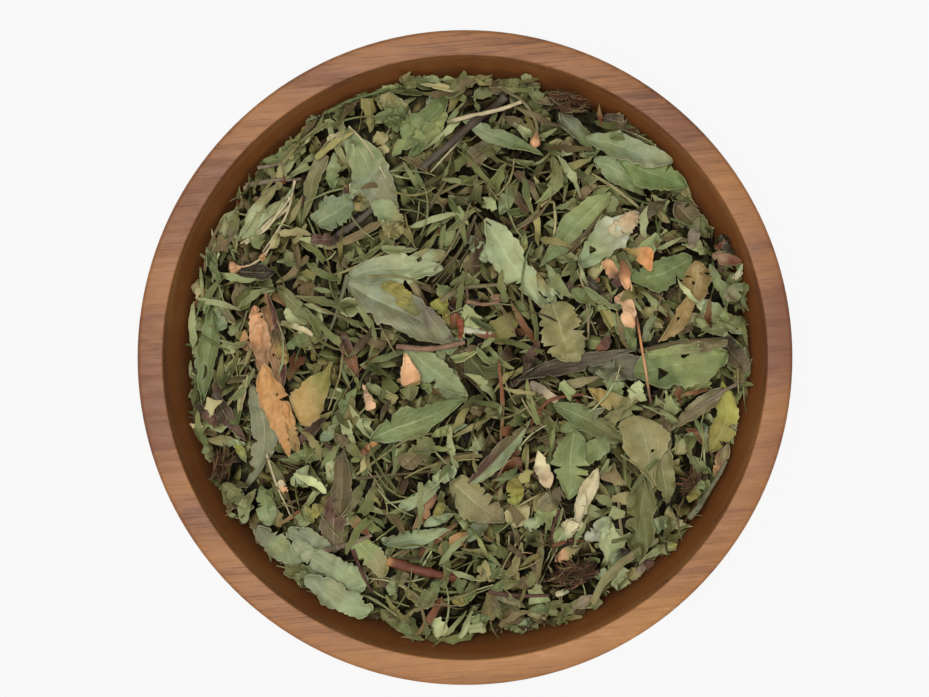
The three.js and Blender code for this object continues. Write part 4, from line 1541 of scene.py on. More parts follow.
def whole_leaf(name, outline, base, tip, width, tones, on=None, size=FINE, **look):
    """Lays a whole leaf and gives it its form and its tints."""
    luck = np.random.default_rng(sum(map(ord, name)))
    bow, tears = look.get("bow", 0.0), look.get("tears", 1.2)
    sheet, x, y, along, across, length = leaf_sheet(
        name, outline, size, base, tip, width, bow, tears, luck
    )
    row, column = cells_at(x, y)
    below = ground[row, column]
    if on:
        z = blurred(height_of(on, x, y), 3) - SOLID_HALF
    else:
        z = blurred(0.5 * np.percentile(below, 60) + 0.5 * below, 25) + LYING
    side = across / np.maximum(np.abs(across).max(axis=1, keepdims=True), LEAST_HALF)
    spread = waves(x, y, 7.0, luck)
    z = z + look.get("fold", luck.uniform(0.12, 0.4)) * np.abs(across)
    raised = look.get("edge", luck.uniform(0.6, 1.3)) * np.abs(side) ** 4
    z = z + raised * (0.6 + 0.6 * waves(along * length, side * 3, 6.0, luck))
    z = z + look.get("wrinkle", 0.3) * waves(x, y, look.get("wave", 4.0), luck)
    z = z + look.get("tip_lift", 0.0) * along**4
    need = np.maximum(0, below + LEAF_THICKNESS / 2 + LEAF_GAP - z)
    lift = need
    for _ in range(LIFT_SPREAD):
        lift = np.maximum(need, blurred(lift))
    z = np.minimum(z + lift, HIGHEST if on else ceiling[row, column])
    out = np.maximum(0, np.hypot(x, y) - wall_radius(z) + LEAF_FROM_WALL)
    away = np.hypot(x, y)
    x, y = x * (1 - out / away), y * (1 - out / away)
    np.maximum.at(ground, (row, column), z + LEAF_THICKNESS / 2)
    set_points(sheet, np.stack([x, y, z], axis=2).reshape(-1, 3))
    tint_leaf(sheet, tones, look.get("nerves", 0.4), along, side, spread, luck)
    if on:
        on_leaf[row, column] = True
    cut_holes(sheet, look.get("holes", ()), along, across, length)
    thicken(sheet, LEAF_THICKNESS)
    smooth_by_angle(sheet, 50)
    return sheet


def gathered(name, pieces):
    """Joins pieces of one finish into one."""
    if len(pieces) > 1:
        bpy.ops.object.select_all(action="DESELECT")
        for piece in pieces:
            piece.select_set(True)
        bpy.context.view_layer.objects.active = pieces[0]
        bpy.ops.object.join()
    pieces[0].name = name
    return pieces[0]


print("whole leaves can be laid")

# %% [markdown]
# ## Smaller leaves under the whole ones
#
# Between the whole leaves lie many smaller and broken ones that still read as leaves: halves, tips,
# straps and scraps. They have no solids of their own, because each is small and lies close to the
# bed, but they are laid in the same way, on the cuttings and below the whole leaves. Those of one
# slot are joined into one piece.

# %% The smaller leaves
# outline, stalk end, tip (mm to the right, mm up on the plan), width in mm, tones, bow in mm
LOWER_LEAVES = table_rows("""
smooth, -30.5 50, -26 50, 2.8, straw olive
ovate, -30.5 39, -30.5 47.5, 3.4, green sage
scrap, -35.5 27, -28 28, 3.4, plum umber
scrap, -28 37.5, -26 39.5, 2.8, plum rust
scrap, -26.5 35, -22 35.5, 2.4, mustard olive
lance, -52.5 27, -47 35, 3.2, straw sage
lance, -38 35, -34 46.5, 1.8, plum bark
lance, -29.5 20.5, -25.5 25, 2.4, bark olive
lance, -54.5 20.5, -43.5 20, 5, dark dark
lance, -59.5 25.5, -57 17, 2, green sage
lance, -58 14, -53 8, 3, green bark
lance, -47 45.5, -38 48, 2.2, green olive
tip, -14 55.5, -18 61.5, 4.4, straw sage
lance, -8 56, -8 61.5, 2.4, pale pale
ovate, 0.5 44, 9.5 50, 4.8, bark olive
lance, 20 46.5, 16 35.5, 3.4, olive fresh, 3
ovate, 26.5 47, 31.5 48.5, 2.2, fresh green
lance, 37 32, 47 36.5, 3.4, umber bark
ovate, 55 34, 60 29, 4.6, yellow olive
lance, 56.5 21.5, 60 11, 2.6, sage green
ovate, 59.5 13, 64 17, 3.8, drab sage
lance, 53.5 14.5, 62.5 5.5, 4.4, pale fresh
lance, 60 8, 65.5 8.5, 2.8, olive green
ovate, 49 5.5, 57 9.5, 4.2, bark drab
lance, 53 9, 61.5 4.5, 2.4, fresh pale
ovate, 39.5 1.5, 33.5 10.5, 4.6, green fresh
strap, 30 11, 36.5 11.5, 1.5, fresh sage
scrap, 30.5 1, 33.5 4.5, 2.8, rust plum
lance, 27.5 18.5, 34 12.5, 3.6, dark bark
lance, 24.5 15.5, 30 11.5, 3, green olive
lance, 41.5 3.5, 44.5 10, 1.8, grey sage
ovate, 34.5 -3.5, 35.5 -10.5, 4, sage green
lance, 28.5 -7, 41.5 -9, 4.4, mustard straw, -2.5
lance, 22 -6.5, 31 -4.5, 2.6, straw drab
scrap, 59 4, 65 -3.5, 5, umber bark
scrap, -10 23, -4.5 24, 3.4, pale straw
ovate, -6 25.5, -2 29, 3.2, green fresh
lance, 5 22, 0 29, 3.8, mint teal
scrap, 6 13.5, 10 14, 1.6, rose toast
scrap, 0 12.5, 3.5 13, 1.3, rust umber
lance, 21.5 11.5, 15 22, 2.6, pale straw
lance, 22.5 13.5, 18.5 22, 2.2, pale sage
lance, 20 11, 14.5 17, 2.4, sage straw
lance, 17 4, 13 -4, 2.6, plum umber
lance, 13.5 24, 14 28.5, 1.7, yellow fresh
ovate, -10 -4.5, -8 -8.5, 2.4, olive green
ovate, -5.5 -4.5, 0.5 -10.5, 5.2, sage green
lance, -43.5 16.5, -32 6.5, 3.6, olive green
lance, -41.5 2, -31 5, 3, green olive
lance, -28 6, -24.5 -5.5, 3, plum rust
lance, -50.5 1.5, -51 6.5, 2.2, toast tan
lance, -58.5 -8, -51 -19.5, 3.6, umber plum
lance, -51 -20, -61 -19, 2.8, pale straw
lance, -53.5 -20, -51 -24.5, 2, lime fresh
lance, -38.5 -20, -32 -14, 3.4, plum umber
lance, -30.5 -15.5, -25 -7, 3.8, green fresh
ovate, -33 -19.5, -29.5 -15.5, 2.6, teal sage
lance, -41 -23.5, -28.5 -20.5, 3.2, green olive
lance, -30 -17.5, -23.5 -23.5, 3, bark olive
scrap, -24 -22, -20.5 -19.5, 1.9, rust orange
lance, -30 -45, -30.5 -31, 6.2, bark plum
lance, -28.5 -37, -23 -28.5, 3, drab olive
lance, -41 -31.5, -46 -23, 2.8, bark olive
ovate, -40 -29.5, -36 -25, 3.6, mint sage
ovate, -39.5 -38.5, -32.5 -34.5, 4.6, fresh yellow
ovate, -45 -39, -47 -29.5, 5, sage green
lance, -56.5 -29.5, -50.5 -35.5, 3.8, olive green
lance, -51.5 -38.5, -48.5 -30.5, 3.2, sage straw
scrap, -25 -42, -18 -50, 6, fresh straw
lance, -27.5 -35.5, -22 -42.5, 2.8, olive rust
ovate, -6 -45.5, 0.5 -40.5, 3.6, gold tan
lance, -9.5 -39, -2 -36, 2.6, mint teal
lance, -19.5 -42, -14.5 -44.5, 2.2, mint sage
lance, -6.5 -31.5, -12 -40, 3, rust toast
strap, -6.5 -36.5, -5 -31, 1.9, yellow olive
ovate, 5 -38, 0.5 -42.5, 3.6, grey teal
lance, 4 -47, 11 -51, 3.2, green olive
lance, 6 -53, 12.5 -51.5, 2.8, green olive
ovate, 12.5 -53, 17 -49.5, 3.4, bark olive
lance, 7 -55.5, 14 -58, 2.2, grey drab
lance, 6 -55.5, 8.5 -61, 2.2, bark olive
ovate, 0 -61, 6 -60, 2.4, fresh green
ovate, -3 -56.5, 2.5 -54, 2.8, yellow green
scrap, -10 -57.5, -5 -51.5, 3.6, olive green
ovate, -14.5 -60, -11.5 -62.5, 2.8, olive bark
lance, -19.5 -58.5, -10.5 -65, 3.2, olive green
scrap, -18 -54.5, -13.5 -50, 3.2, sage drab
scrap, 14.5 -59, 19 -60, 2, straw drab
scrap, 11 -64.5, 15 -61, 3, fresh sage
lance, 15 -58.5, 23 -56.5, 2.4, green olive
lance, 24.5 -58, 30.5 -55.5, 2.8, drab lilac
scrap, 14 -39.5, 21 -34.5, 3.6, pale fresh
scrap, 17.5 -35, 23.5 -31, 4.2, drab bark
lance, 21 -47.5, 27 -43.5, 3, peach straw
scrap, 20.5 -42.5, 26.5 -37.5, 4.4, fresh cream
scrap, 33.5 -47, 38 -44.5, 3.2, teal dark
ovate, 30 -51, 36.5 -48, 3.6, sage olive
strap, 29.5 -57, 45 -42.5, 1.9, straw drab, 2.5
scrap, 35 -53.5, 40.5 -49.5, 3.8, sage straw
scrap, 40 -50, 44 -47.5, 2.4, lilac plum
lance, 51.5 -16.5, 58 -23.5, 3.2, rust plum
ovate, 58 -27.5, 61 -20.5, 3, tan lilac
lance, 57.5 -22, 55 -15, 3.2, grey teal
ovate, 49 -22.5, 53 -17.5, 3.2, straw sage
lance, 57 -27, 51.5 -22.5, 2.4, green sage
lance, 54.5 -28.5, 52 -21.5, 1.9, green olive
scrap, 51.5 -33, 55 -28.5, 2.6, yellow fresh
ovate, 46 -44, 50 -42.5, 2, fresh yellow
lance, 47 -40.5, 47.5 -34.5, 3.2, olive straw
lance, 10 -19, 13.5 -26.5, 2.2, rust red
scrap, -9.5 -31, -2 -25.5, 3.6, sage mint
scrap, -14.5 -35, -6.5 -29.5, 3.4, mint sage
scrap, -14.5 -25, -7.5 -19, 5, bark olive
lance, -7.5 -18, 0.5 -15.5, 2.6, fresh sage
lance, 21.5 -17, 32.5 -11.5, 3.4, green grey
lance, 23.5 -24, 38.5 -16, 5, green sage
lance, 29.5 -17.5, 37.5 -11, 3, olive straw
lance, 0 4.5, -8 -1, 3.4, sage sage
lance, 8 33, 12.5 41.5, 3.6, sage olive
scrap, 22 55.5, 27 52, 3.4, green sage
lance, 9 55.5, 18.5 50, 3, bark olive
scrap, -38 55.5, -31 58.5, 3, sage olive
lance, -26 61.5, -15.5 63, 2.6, green fresh
scrap, -14 63, -6 64.5, 3.2, olive sage
lance, -4.5 60, 3 64, 3.4, olive bark
scrap, 5.5 62.5, 12.5 63.5, 3.4, bark olive
lance, 14.5 62.5, 21 58.5, 2.8, green bark
scrap, 32 55.5, 40.5 52, 3.8, umber bark
lance, 44 50, 52 42, 3, drab olive
lance, -52.5 34.5, -55 26, 2.8, olive bark
scrap, -60 13.5, -56 6.5, 4.2, green teal
lance, -63.5 3, -60 -8, 3.6, sage teal
scrap, -62 -10.5, -57 -15.5, 3.4, umber plum
lance, 54.5 6.5, 64 5.5, 2.6, olive sage
scrap, 41 -42, 47 -37.5, 3, olive sage
""")


def small_leaves(label, places):
    """Lays small leaves and joins those of each slot."""
    by_slot = {}
    for number, (outline, base, tip, width, tones, *bow) in enumerate(places):
        luck = np.random.default_rng(number + len(places))
        look = {
            "bow": bow[0] if bow else luck.normal(0, 0.05) * math.dist(base, tip),
            "fold": luck.uniform(0.05, 0.5),
            "edge": luck.uniform(0.2, 0.8),
            "wrinkle": luck.uniform(0.12, 0.3),
            "nerves": luck.uniform(0.2, 0.6),
            "tears": 0.9,
        }
        name = f"{label}_{number}"
        sheet = whole_leaf(name, outline, base, tip, width, tones, size=COARSE, **look)
        by_slot.setdefault(slot_of_tone[tones[0]], []).append(sheet)
    for slot, sheets in by_slot.items():
        settle(gathered(f"{label}_{slot}", sheets), whole_finish, slot=slot)
    return by_slot


lower = small_leaves("lower_leaves", LOWER_LEAVES)
print("smaller leaves:", len(LOWER_LEAVES), "in pieces:", len(lower))

# %% The whole leaves, lowest first
# name, outline, stalk end, tip (mm to the right, mm up on the plan), width in mm, tones
WHOLE_LEAVES = table_rows("""
left_edge, lance, -59 12, -61 -11, 5, green green
olive_edge, ovate, 49 36, 57 28, 6, bark olive
yellow_edge, ovate, 57 -22, 60 -5.5, 6.4, yellow lime
grey_hanging, lance, -49.5 -6, -51 -31, 6.5, grey grey
teal_toothed, scrap, -34.5 31, -26 36, 7.5, teal teal
olive_strap, lance, -32 50.5, -38 31, 3.6, drab olive
grey_slender, lance, 22 57, 30 48, 3.6, grey green
sage_middle, lance, 30 46, 42 37.5, 6, sage green
green_upper, ovate, 36 45.5, 51.5 39.5, 8.6, spring spring
sage_upper, smooth, 28 51, 48 45, 6.4, sage dusty
yellow_green_long, lance, 33.5 38.5, 17 21, 6.5, fresh green
cream_tipped, smooth, 26 21.5, 40 33.5, 7.4, sage milk
cream_tipped, scrap, 34 28.5, 40 33, 4.8, cream linen
green_right, ovate, 53 23, 37.5 18, 8, green green
gold, ovate, 54 22.5, 51.5 12, 6.5, gold bronze
gold, lance, 53 15, 45 3.5, 4, bronze gold
green_broad, ovate, 28.5 -2.5, 45 -2.5, 6.5, grey smoke
green_broad, smooth, 39 -4, 61 1, 11.2, green fresh
green_broad, strap, 42 1, 60.5 3.5, 3, fresh drab
dark_folded, lance, 12 -5.5, 40 1.5, 3.8, umber smoke
green_ragged, ovate, -4 60.5, -17 47, 6.6, green fresh
green_ragged, lance, -4.5 57, -13.5 46, 4.6, fresh green
green_ragged, lance, -9 51, -20.5 55.5, 3.2, fresh green
green_ragged, scrap, -14 54, -19 61, 4.6, green straw
pale_broad, tip, -22.5 47.5, -26 36.5, 6.8, sage dusty
pale_broad, smooth, -27.2 53.5, -16 30.5, 8.4, sage grey
pale_broad, scrap, -19.5 36.5, -15 28, 6, sage straw
teal_curled, lance, -0.5 54.5, 18 46.5, 4, teal green
grey_long, smooth, -27.5 17.5, -2 3.5, 8.8, dusty smoke grey
sage_centre, ovate, -14 2.5, 0.5 -9, 7, sage sage
mint_centre, smooth, -27.3 18.7, -5 20.5, 6.6, dusty pale
fresh_long, lance, 4.5 32, 17.5 11.5, 8, pale pale
crumpled, scrap, 20 12.5, 24.5 -1, 10, straw straw
sage_right, lance, 20.5 -10.5, 38 -20, 5.5, green olive
spatulate_under, smooth, 41.5 -27, 40 -47.5, 7.5, olive olive
spatulate_side, lance, 47 -34, 45 -16.5, 5, olive straw
spatulate, spatula, 44 -30, 40 -13.5, 11.5, straw straw
spear, lance, 60 -7, 47.5 -17, 4, drab drab
green_lower, ovate, 25 -17, 24 -33, 8.5, green fresh
cream_lower, lance, 30.5 -25.5, 25 -40, 4, cream cream
tan_broad, ovate, -3.5 -29, 9 -38.5, 9, straw drab
purple_folded, lance, 0.5 -29, 15 -14, 4.5, plum bark sage
green_veined, lance, -22 -19, 0 -10, 7.5, green green
orange_tipped, ovate, -12.5 -10, -13 0.5, 5, olive orange
yellow_broad, spatula, -31 -1, -38.7 -14.5, 8.8, yellow honey
tan_long, smooth, -42 -7, -45.8 15, 4.4, toast toast plum
tan_long, scrap, -44 6.5, -41.3 -1.5, 2.8, bark mustard
tan_long, smooth, -48.7 12, -46.4 -3.5, 4.8, peach toast
tan_long, lance, -46.5 -1.5, -40.5 -23, 7, tan tan
tan_long, strap, -41.5 -10.5, -38.8 -22, 2.4, tan gold
grey_brown, lance, -29 -37, -28 -21, 5, bark bark
teal_lower, lance, -19 -43.5, -3.5 -40, 4.5, teal mint
sage_toothed_1, lobed, -48.5 -39.5, -38.5 -48, 5.6, grey sage
sage_toothed_1, lobed, -42 -49.5, -32.5 -50.5, 4, olive sage
sage_toothed_2, lobed, -41 -40, -31.5 -44.3, 5, dusty dusty
sage_toothed_3, lobed, -40 -43, -31 -48.5, 4.6, dusty dusty
sage_toothed_3, lobed, -35 -45, -23 -53.3, 5.6, dusty mint
sage_toothed_4, lobed, -37 -51, -22 -59, 6.2, dusty mint
""")
LEAF_LOOKS = {  # what is special about some of them, in mm
    "yellow_edge": {"bow": -2},
    "grey_hanging": {"bow": 3.5},
    "sage_middle": {"bow": 1},
    "green_right": {"bow": 1},
    "gold": {"bow": 1, "fold": 0.3, "tears": 2, "holes": [(0.5, 0.6, 0.5)]},
    "green_broad": {"nerves": 0.12, "tears": 0.3, "holes": [(0.27, 1.6, 1.3), (0.56, -2.2, 1.0)]},
    "dark_folded": {"bow": 1, "fold": 0.7},
    "purple_folded": {"bow": -1, "fold": 0.6},
    "tan_long": {"edge": 1.0, "wrinkle": 0.6, "wave": 2.4, "nerves": 0.15, "tears": 1.5,
                 "holes": [(0.35, -1.2, 0.5), (0.72, 1.8, 0.7)]},
    "spatulate": {"fold": 0.12, "wrinkle": 0.2, "nerves": 0.3, "tears": 0, "holes": [(0.5, 0.9, 0.45)]},
    "yellow_broad": {"fold": 0.1, "edge": 0.5, "nerves": 0.1, "tears": 0},
    "spatulate_under": {"tears": 0.4, "nerves": 0.15, "wrinkle": 0.5},
    "cream_lower": {"tears": 0.3, "tip_lift": 1.0, "nerves": 0.2},
    "cream_tipped": {"tears": 0.3, "fold": 0.1, "nerves": 0.25, "wrinkle": 0.45,
                     "holes": [(0.26, -0.3, 0.9)]},
    "crumpled": {"wrinkle": 0.7, "wave": 5.0},
    "fresh_long": {"edge": 0.9, "fold": 0.3, "tears": 0.5},
    "green_veined": {"nerves": 0.6},
    "green_ragged": {"tears": 1.5, "nerves": 0.25},
    "pale_broad": {"nerves": 0.2, "tears": 0.5},
    "sage_upper": {"tears": 0.3, "nerves": 0.3},
    "green_upper": {"tears": 0.4, "nerves": 0.3},
    "mint_centre": {"tears": 0.4, "bow": 0.8},
    "grey_long": {"tears": 0.4, "wrinkle": 0.4},
}
TOOTHED = {"tears": 0.5, "fold": 0.1, "nerves": 0.25}
LEAF_LOOKS.update({f"sage_toothed_{number}": TOOTHED for number in (1, 2, 3, 4)})
blades_of = {}
for leaf, *blade in WHOLE_LEAVES:
    blades_of.setdefault(leaf, []).append(blade)
for leaf, blades in blades_of.items():
    look = LEAF_LOOKS.get(leaf, {})
    sheets = []
    for outline, base, tip, width, tones in blades:
        label = f"whole_{leaf}" + "_part" * len(sheets)
        sheets.append(whole_leaf(label, outline, base, tip, width, tones, on="leaf_" + leaf, **look))
    settle(gathered("whole_" + leaf, sheets), whole_finish, "leaf_" + leaf)
ceiling[:] = HIGHEST
leaf_top = ground.copy()
print("whole leaves:", len(blades_of))

# %% Small leaves on top
UPPER_LEAVES = table_rows("""
tip, -12.6 -6, -13.8 1, 4.6, peach blush
tip, -21.5 -12, -23.5 -6, 2.4, blush blush
scrap, -43 -28.5, -41.5 -31.5, 1.8, cream peach
scrap, -18.5 17, -12 13.5, 3.6, yellow yellow
scrap, -15.5 13, -10.5 10, 3, yellow olive
tip, -6.5 13.5, -3.5 7.5, 4, lime yellow
tip, -47.4 22.8, -46 24.6, 1.8, orange tan
smooth, 57.8 -27.5, 61 -20, 2.2, toast drab
scrap, -9 11, -4 4.5, 4.4, smoke grey
strap, -32 50.5, -26 52.5, 1.1, cream straw
strap, -42.5 8, -35 5, 1.3, straw cream
strap, 15 -6, 21.5 -10, 2.2, lilac linen
strap, 62 18, 64 21.5, 1.2, cream pale
smooth, 28 -42.5, 33.5 -37, 4.2, milk pale
strap, 21 -55, 24 -54, 1.3, cream pale
lance, -14 22, -8 25, 1.6, pale straw
ovate, -46.5 36, -51.5 27.5, 3.4, straw pale
lance, -43.5 40, -52.5 27.5, 2.4, straw pale
lance, -40.5 38, -49 29, 2, straw pale
lance, 27.5 -31, 26 -38, 2.6, cream cream
tip, 25.5 -38, 21.5 -42.5, 2.6, cream pale
ovate, 19.5 -30, 17 -21.5, 4.2, linen cream
smooth, 12 -34, 11.5 -27.5, 4.4, lime yellow
smooth, 58.5 28, 62.5 24.5, 3.4, dark dark
smooth, 57 23.8, 63.5 21.8, 3.2, rose red
tip, 57.5 25, 60 27, 1.6, red rust
tip, 43.5 22, 36.6 25.4, 4.6, orange mustard
lance, 52.5 25, 54.5 32.5, 2.8, lilac drab
""")
upper = small_leaves("upper_leaves", UPPER_LEAVES)
print("on top:", len(UPPER_LEAVES), "in pieces:", len(upper))

# %% [markdown]
# ## Stems
#
# The cut stems are round twigs with a joint here and there, where leaves grew. Each starts as a
# cylinder, is cut across into rings in edit mode, and is then carried along its own way over the
# heap, with its thickness changing a little from ring to ring. A stem that ends in a bud swells there.

# %% Stem form
STEM_RINGS = 26
STEM_SIDES = 10


def smooth_way(corners, steps):
    """Points on a smooth curve through a few corners."""
    corners = np.array(corners, dtype=float)
    ends = np.vstack([2 * corners[0] - corners[1], corners, 2 * corners[-1] - corners[-2]])
    points = []
    for at in np.linspace(0, len(corners) - 1, steps):
        i = min(int(at), len(corners) - 2)
        t = at - i
        a, b, c, d = ends[i : i + 4]
        linear, square = (c - a) * t, (2 * a - 5 * b + 4 * c - d) * t**2
        points.append(0.5 * (2 * b + linear + square + (3 * b - a - 3 * c + d) * t**3))
    return np.array(points)


def tube(name, way, radii, tints):
    """A closed round tube along a way in mm, with a radius and a tint for each ring."""
    bpy.ops.object.select_all(action="DESELECT")
    rings = len(way) - 1
    bpy.ops.mesh.primitive_cylinder_add(vertices=STEM_SIDES, radius=1, depth=1, end_fill_type="NGON")
    made = bpy.context.object
    made.name = name
    bpy.ops.object.mode_set(mode="EDIT")
    shape = bmesh.from_edit_mesh(made.data)
    for item in (*shape.verts, *shape.edges, *shape.faces):
        item.select = False
    for edge in shape.edges:
        edge.select = abs(edge.verts[0].co.z - edge.verts[1].co.z) > 0.5
    bmesh.update_edit_mesh(made.data)
    bpy.ops.mesh.subdivide(number_cuts=rings - 1)
    bpy.ops.object.mode_set(mode="OBJECT")
    points = points_of(made) * MM
    ring = np.clip(np.rint((points[:, 2] + 0.5) * rings).astype(int), 0, rings)
    ahead = np.gradient(way, axis=0)
    ahead /= np.linalg.norm(ahead, axis=1, keepdims=True)
    side = np.cross(ahead, (0, 0, 1.0))
    side /= np.linalg.norm(side, axis=1, keepdims=True)
    up = np.cross(side, ahead)
    radii = np.asarray(radii)[ring][:, None]
    set_points(made, way[ring] + radii * (points[:, :1] * side[ring] + points[:, 1:2] * up[ring]))
    mark(made, "tint", tints[ring], "FLOAT_COLOR")
    bpy.ops.object.mode_set(mode="EDIT")
    face_outward()
    smooth_by_angle(made, 50)
    return made


def stem_way(corners, thickness, on=None, raised=False):
    """A stem's middle line on the heap, or above all that lies there."""
    way = smooth_way(corners, STEM_RINGS)
    x, y = way[:, 0], way[:, 1]
    if on:
        z = height_of(on, x, y, middle=True)
    else:
        z = np.maximum(ground[cells_at(x, y)], heap(x, y)) + thickness / 2
    if raised:
        near = (-CELL, 0, CELL)
        around = [ground[cells_at(x + dx, y + dy)] for dx in near for dy in near]
        z = np.maximum(z, np.max(around, axis=0) + thickness / 2)
        z = np.minimum(z, HIGHEST - thickness)
    soft = np.pad(z, 3, mode="edge")
    z = np.convolve(soft, np.ones(7) / 7, mode="valid")
    row, column = cells_at(x, y)
    np.maximum.at(ground, (row, column), z + thickness / 2)
    on_leaf[row, column] = True
    return np.stack([x, y, z], axis=1)


print("stems can be made")

# %% [markdown]
# ## Stem finish
#
# A dry stem is streaked along its length and paler where the bark has worn off. The streaks follow
# the tube's own map, which runs round it one way and along it the other.

# %% Stem finish
stem_tree, stem_in, stem_out = group(
    "stem_bark",
    [
        ("Map", "Vector", None),
        ("Place", "Vector", None),
        ("Bark", "Color", colour(150, 130, 90)),
        ("Streaks", "Color", colour(110, 90, 60)),
    ],
    [("Colour", "Color"), ("Height", "Float")],
)
bark_lines = noise(stem_tree, stretched(stem_tree, stem_in["Map"], (26, 5, 1)), 1.0, 3.0, 0.6)
bark_spots = noise(stem_tree, stem_in["Place"], 500.0, 3.0, 0.6)
line_share = ease(stem_tree, bark_lines, 0.38, 0.68)
spot_share = ease(stem_tree, bark_spots, 0.5, 0.75, 0.0, 0.6)
streaked_bark = blend_colours(stem_tree, line_share, stem_in["Bark"], stem_in["Streaks"])
spotted_bark = blend_colours(stem_tree, spot_share, streaked_bark, stem_in["Streaks"])
put(stem_tree, stem_out["Colour"], spotted_bark)
put(stem_tree, stem_out["Height"], bark_lines)

STREAK_DARK = (0.5, 0.46, 0.42, 1)
stem_finish, bark_tree, bark_shader = new_finish("dry_stem", {"Roughness": 0.7})
bark_coordinates = node(bark_tree, "TexCoord").outputs
bark_tint = attribute(bark_tree, "tint", "Color")
bark_values = {
    "Map": bark_coordinates["UV"],
    "Place": bark_coordinates["Object"],
    "Bark": bark_tint,
    "Streaks": blend_colours(bark_tree, 1.0, bark_tint, STREAK_DARK, "MULTIPLY"),
}
bark_surface = placed(bark_tree, stem_tree, bark_values).outputs
put(bark_tree, bark_shader.inputs["Base Color"], bark_surface["Colour"])
add_bump(bark_tree, bark_shader, bark_surface["Height"], 0.5, 0.2 * MM)
print("stem finish:", len(bark_tree.nodes), "nodes")

# %% The stems
# name: tone, tone of its start, thickness in mm, bud thickness or 0, its way on the plan in mm
STEMS = {
    "pale_left": ("cream", "cream", 1.3, 0, ((-41, 35), (-46, 31), (-51, 26.5))),
    "bud_left": ("peach cream cream", "peach", 0.6, 3.9,
                 ((-55, 20.5), (-50, 21.5), (-46.5, 24), (-43, 30))),
    "dark_left": ("smoke", "dark", 1.7, 0, ((-30, 28), (-25, 31.5), (-21, 35))),
    "dark_upper": ("umber smoke", "smoke", 1.9, 0, ((9.5, 60.5), (0, 52.5), (-10, 44))),
    "bud_upper": ("drab", "peach", 0.8, 2.6, ((16, 48.5), (16.5, 54), (13.5, 59), (8.5, 62))),
    "cream_upper": ("cream", "straw", 1.0, 0, ((-4, 54.5), (7, 57), (13, 59))),
    "brown_middle": ("bark", "drab", 0.8, 0, ((2.5, 33), (-1, 25), (-7.5, 17.5))),
    "level_middle": ("rose", "rose", 1.3, 0, ((-15.5, 2.5), (-8, 2), (0, 3.5))),
    "red_lower": ("red", "tan", 2.3, 0, ((-18, -47), (-10, -49.5), (-1, -51.5))),
    "thin_right": ("toast umber orange peach umber", "toast", 0.65, 0,
                   ((38.5, 15), (40.5, 4), (43, -11))),
}
# tone, thickness in mm, way on the plan in mm
STALKS = table_rows("""
green, 0.9, -32 57, -25.5 60, -17.5 62.5
straw, 0.8, -42.5 44.5, -37.5 50.5, -32 54.5
lilac, 0.8, -48 44, -41.5 45
lilac, 1.1, -50.5 40, -44 41, -38 41.5
cream, 0.6, 1.8 54.2, -2.6 49, -8 43
pale, 0.7, -40 39, -45 31.5, -50.5 27
cream, 0.8, -40.5 37, -46.5 29.5, -52 26.5
drab, 0.7, 0.5 33, -3.5 25, -9 17.5
bark, 0.6, 3.5 31, 0.5 24.5, -5.5 16.5
olive, 0.5, 1 31, -1.5 24, -7.5 16
lilac, 0.8, 64 -5.5, 57 -9.5, 51 -13.5
bark, 0.9, 24 25, 28.5 29.5, 32 34
bark, 1, 40.5 1.5, 49.5 3.5, 60 4.5
straw, 0.7, -22 18.5, -15 18.5, -8 16.5
drab, 1.2, -5.5 13, -1 15.8, 4 16.5, 10 17
rose, 0.9, 0.5 12.8, 5 12.2, 10.5 13.8
milk, 1.4, -0.7 6.4, 2.5 6, 6 5.6
grey, 0.9, -27 19, -29.5 10.5, -33 2
green, 0.8, -61.5 5, -58 3, -54.5 1.5
bark, 0.7, -41.5 -31, -40 -35, -38.5 -40
lilac, 1.3, -32.5 -44.5, -27.5 -43.5, -21.5 -41
plum, 0.9, -26 -44.5, -24 -49.5, -21.5 -54.5
bark, 1.4, 10 -43.5, 14.5 -47, 18.5 -52
plum, 1.1, 5.5 -54, 12.5 -55, 19.5 -55
straw, 0.9, -11.5 -58.5, -4 -56, 2.5 -53.5
plum, 0.6, 21.5 -35, 20 -41, 21.5 -47.5
rust, 0.8, 20 -43.5, 24 -42.5, 27.5 -42.5
olive, 1.1, 30.5 -43.5, 34.5 -42.5, 39 -41
grey, 1.3, 52 -37, 57 -30.5, 60.5 -24
straw, 0.6, -25 -27, -13.5 -19, -7.5 -17.5
straw, 0.6, 5 -13.5, 10.5 -13.5, 18 -9
rust, 1, 15 -15.5, 19.5 -10, 27.5 -8.5
bark, 0.8, -25 -28, -16 -27, -7 -26
cream, 0.6, -39.5 41, -41.5 33, -47 24.5
cream, 0.5, -46 -22.5, -43.5 -29.5, -40.5 -36.5
green, 0.7, 46 33, 50 31.5, 53.5 30
olive, 0.8, 3.5 48, 9 43.5, 11.5 36.5
bark, 0.7, -4 38.5, 1 35, 6 30.5
brick, 1.5, -1.2 8.6, -0.9 6.5, -1.2 4.4
straw, 0.5, 36 -22.5, 40.5 -26, 43 -33
cream, 0.45, -27 53.7, -22.9 49.3, -19.2 43.1, -17 39.5
""")


def stem_radii(thickness, bud, luck):
    """The radius of each ring: a slight taper, one or two joints, and a bud at the start."""
    at = np.linspace(0, 1, STEM_RINGS)
    radii = thickness / 2 * (1.05 - 0.2 * at + 0.05 * np.sin(at * 19 + luck.uniform(0, 6)))
    for joint in luck.uniform(0.2, 0.85, 2):
        radii += thickness * 0.13 * np.exp(-(((at - joint) / 0.025) ** 2))
    if bud:
        radii += (bud / 2 - thickness / 2) * np.exp(-(((at - 0.06) / 0.07) ** 2))
        radii[0] *= 0.55
    return radii


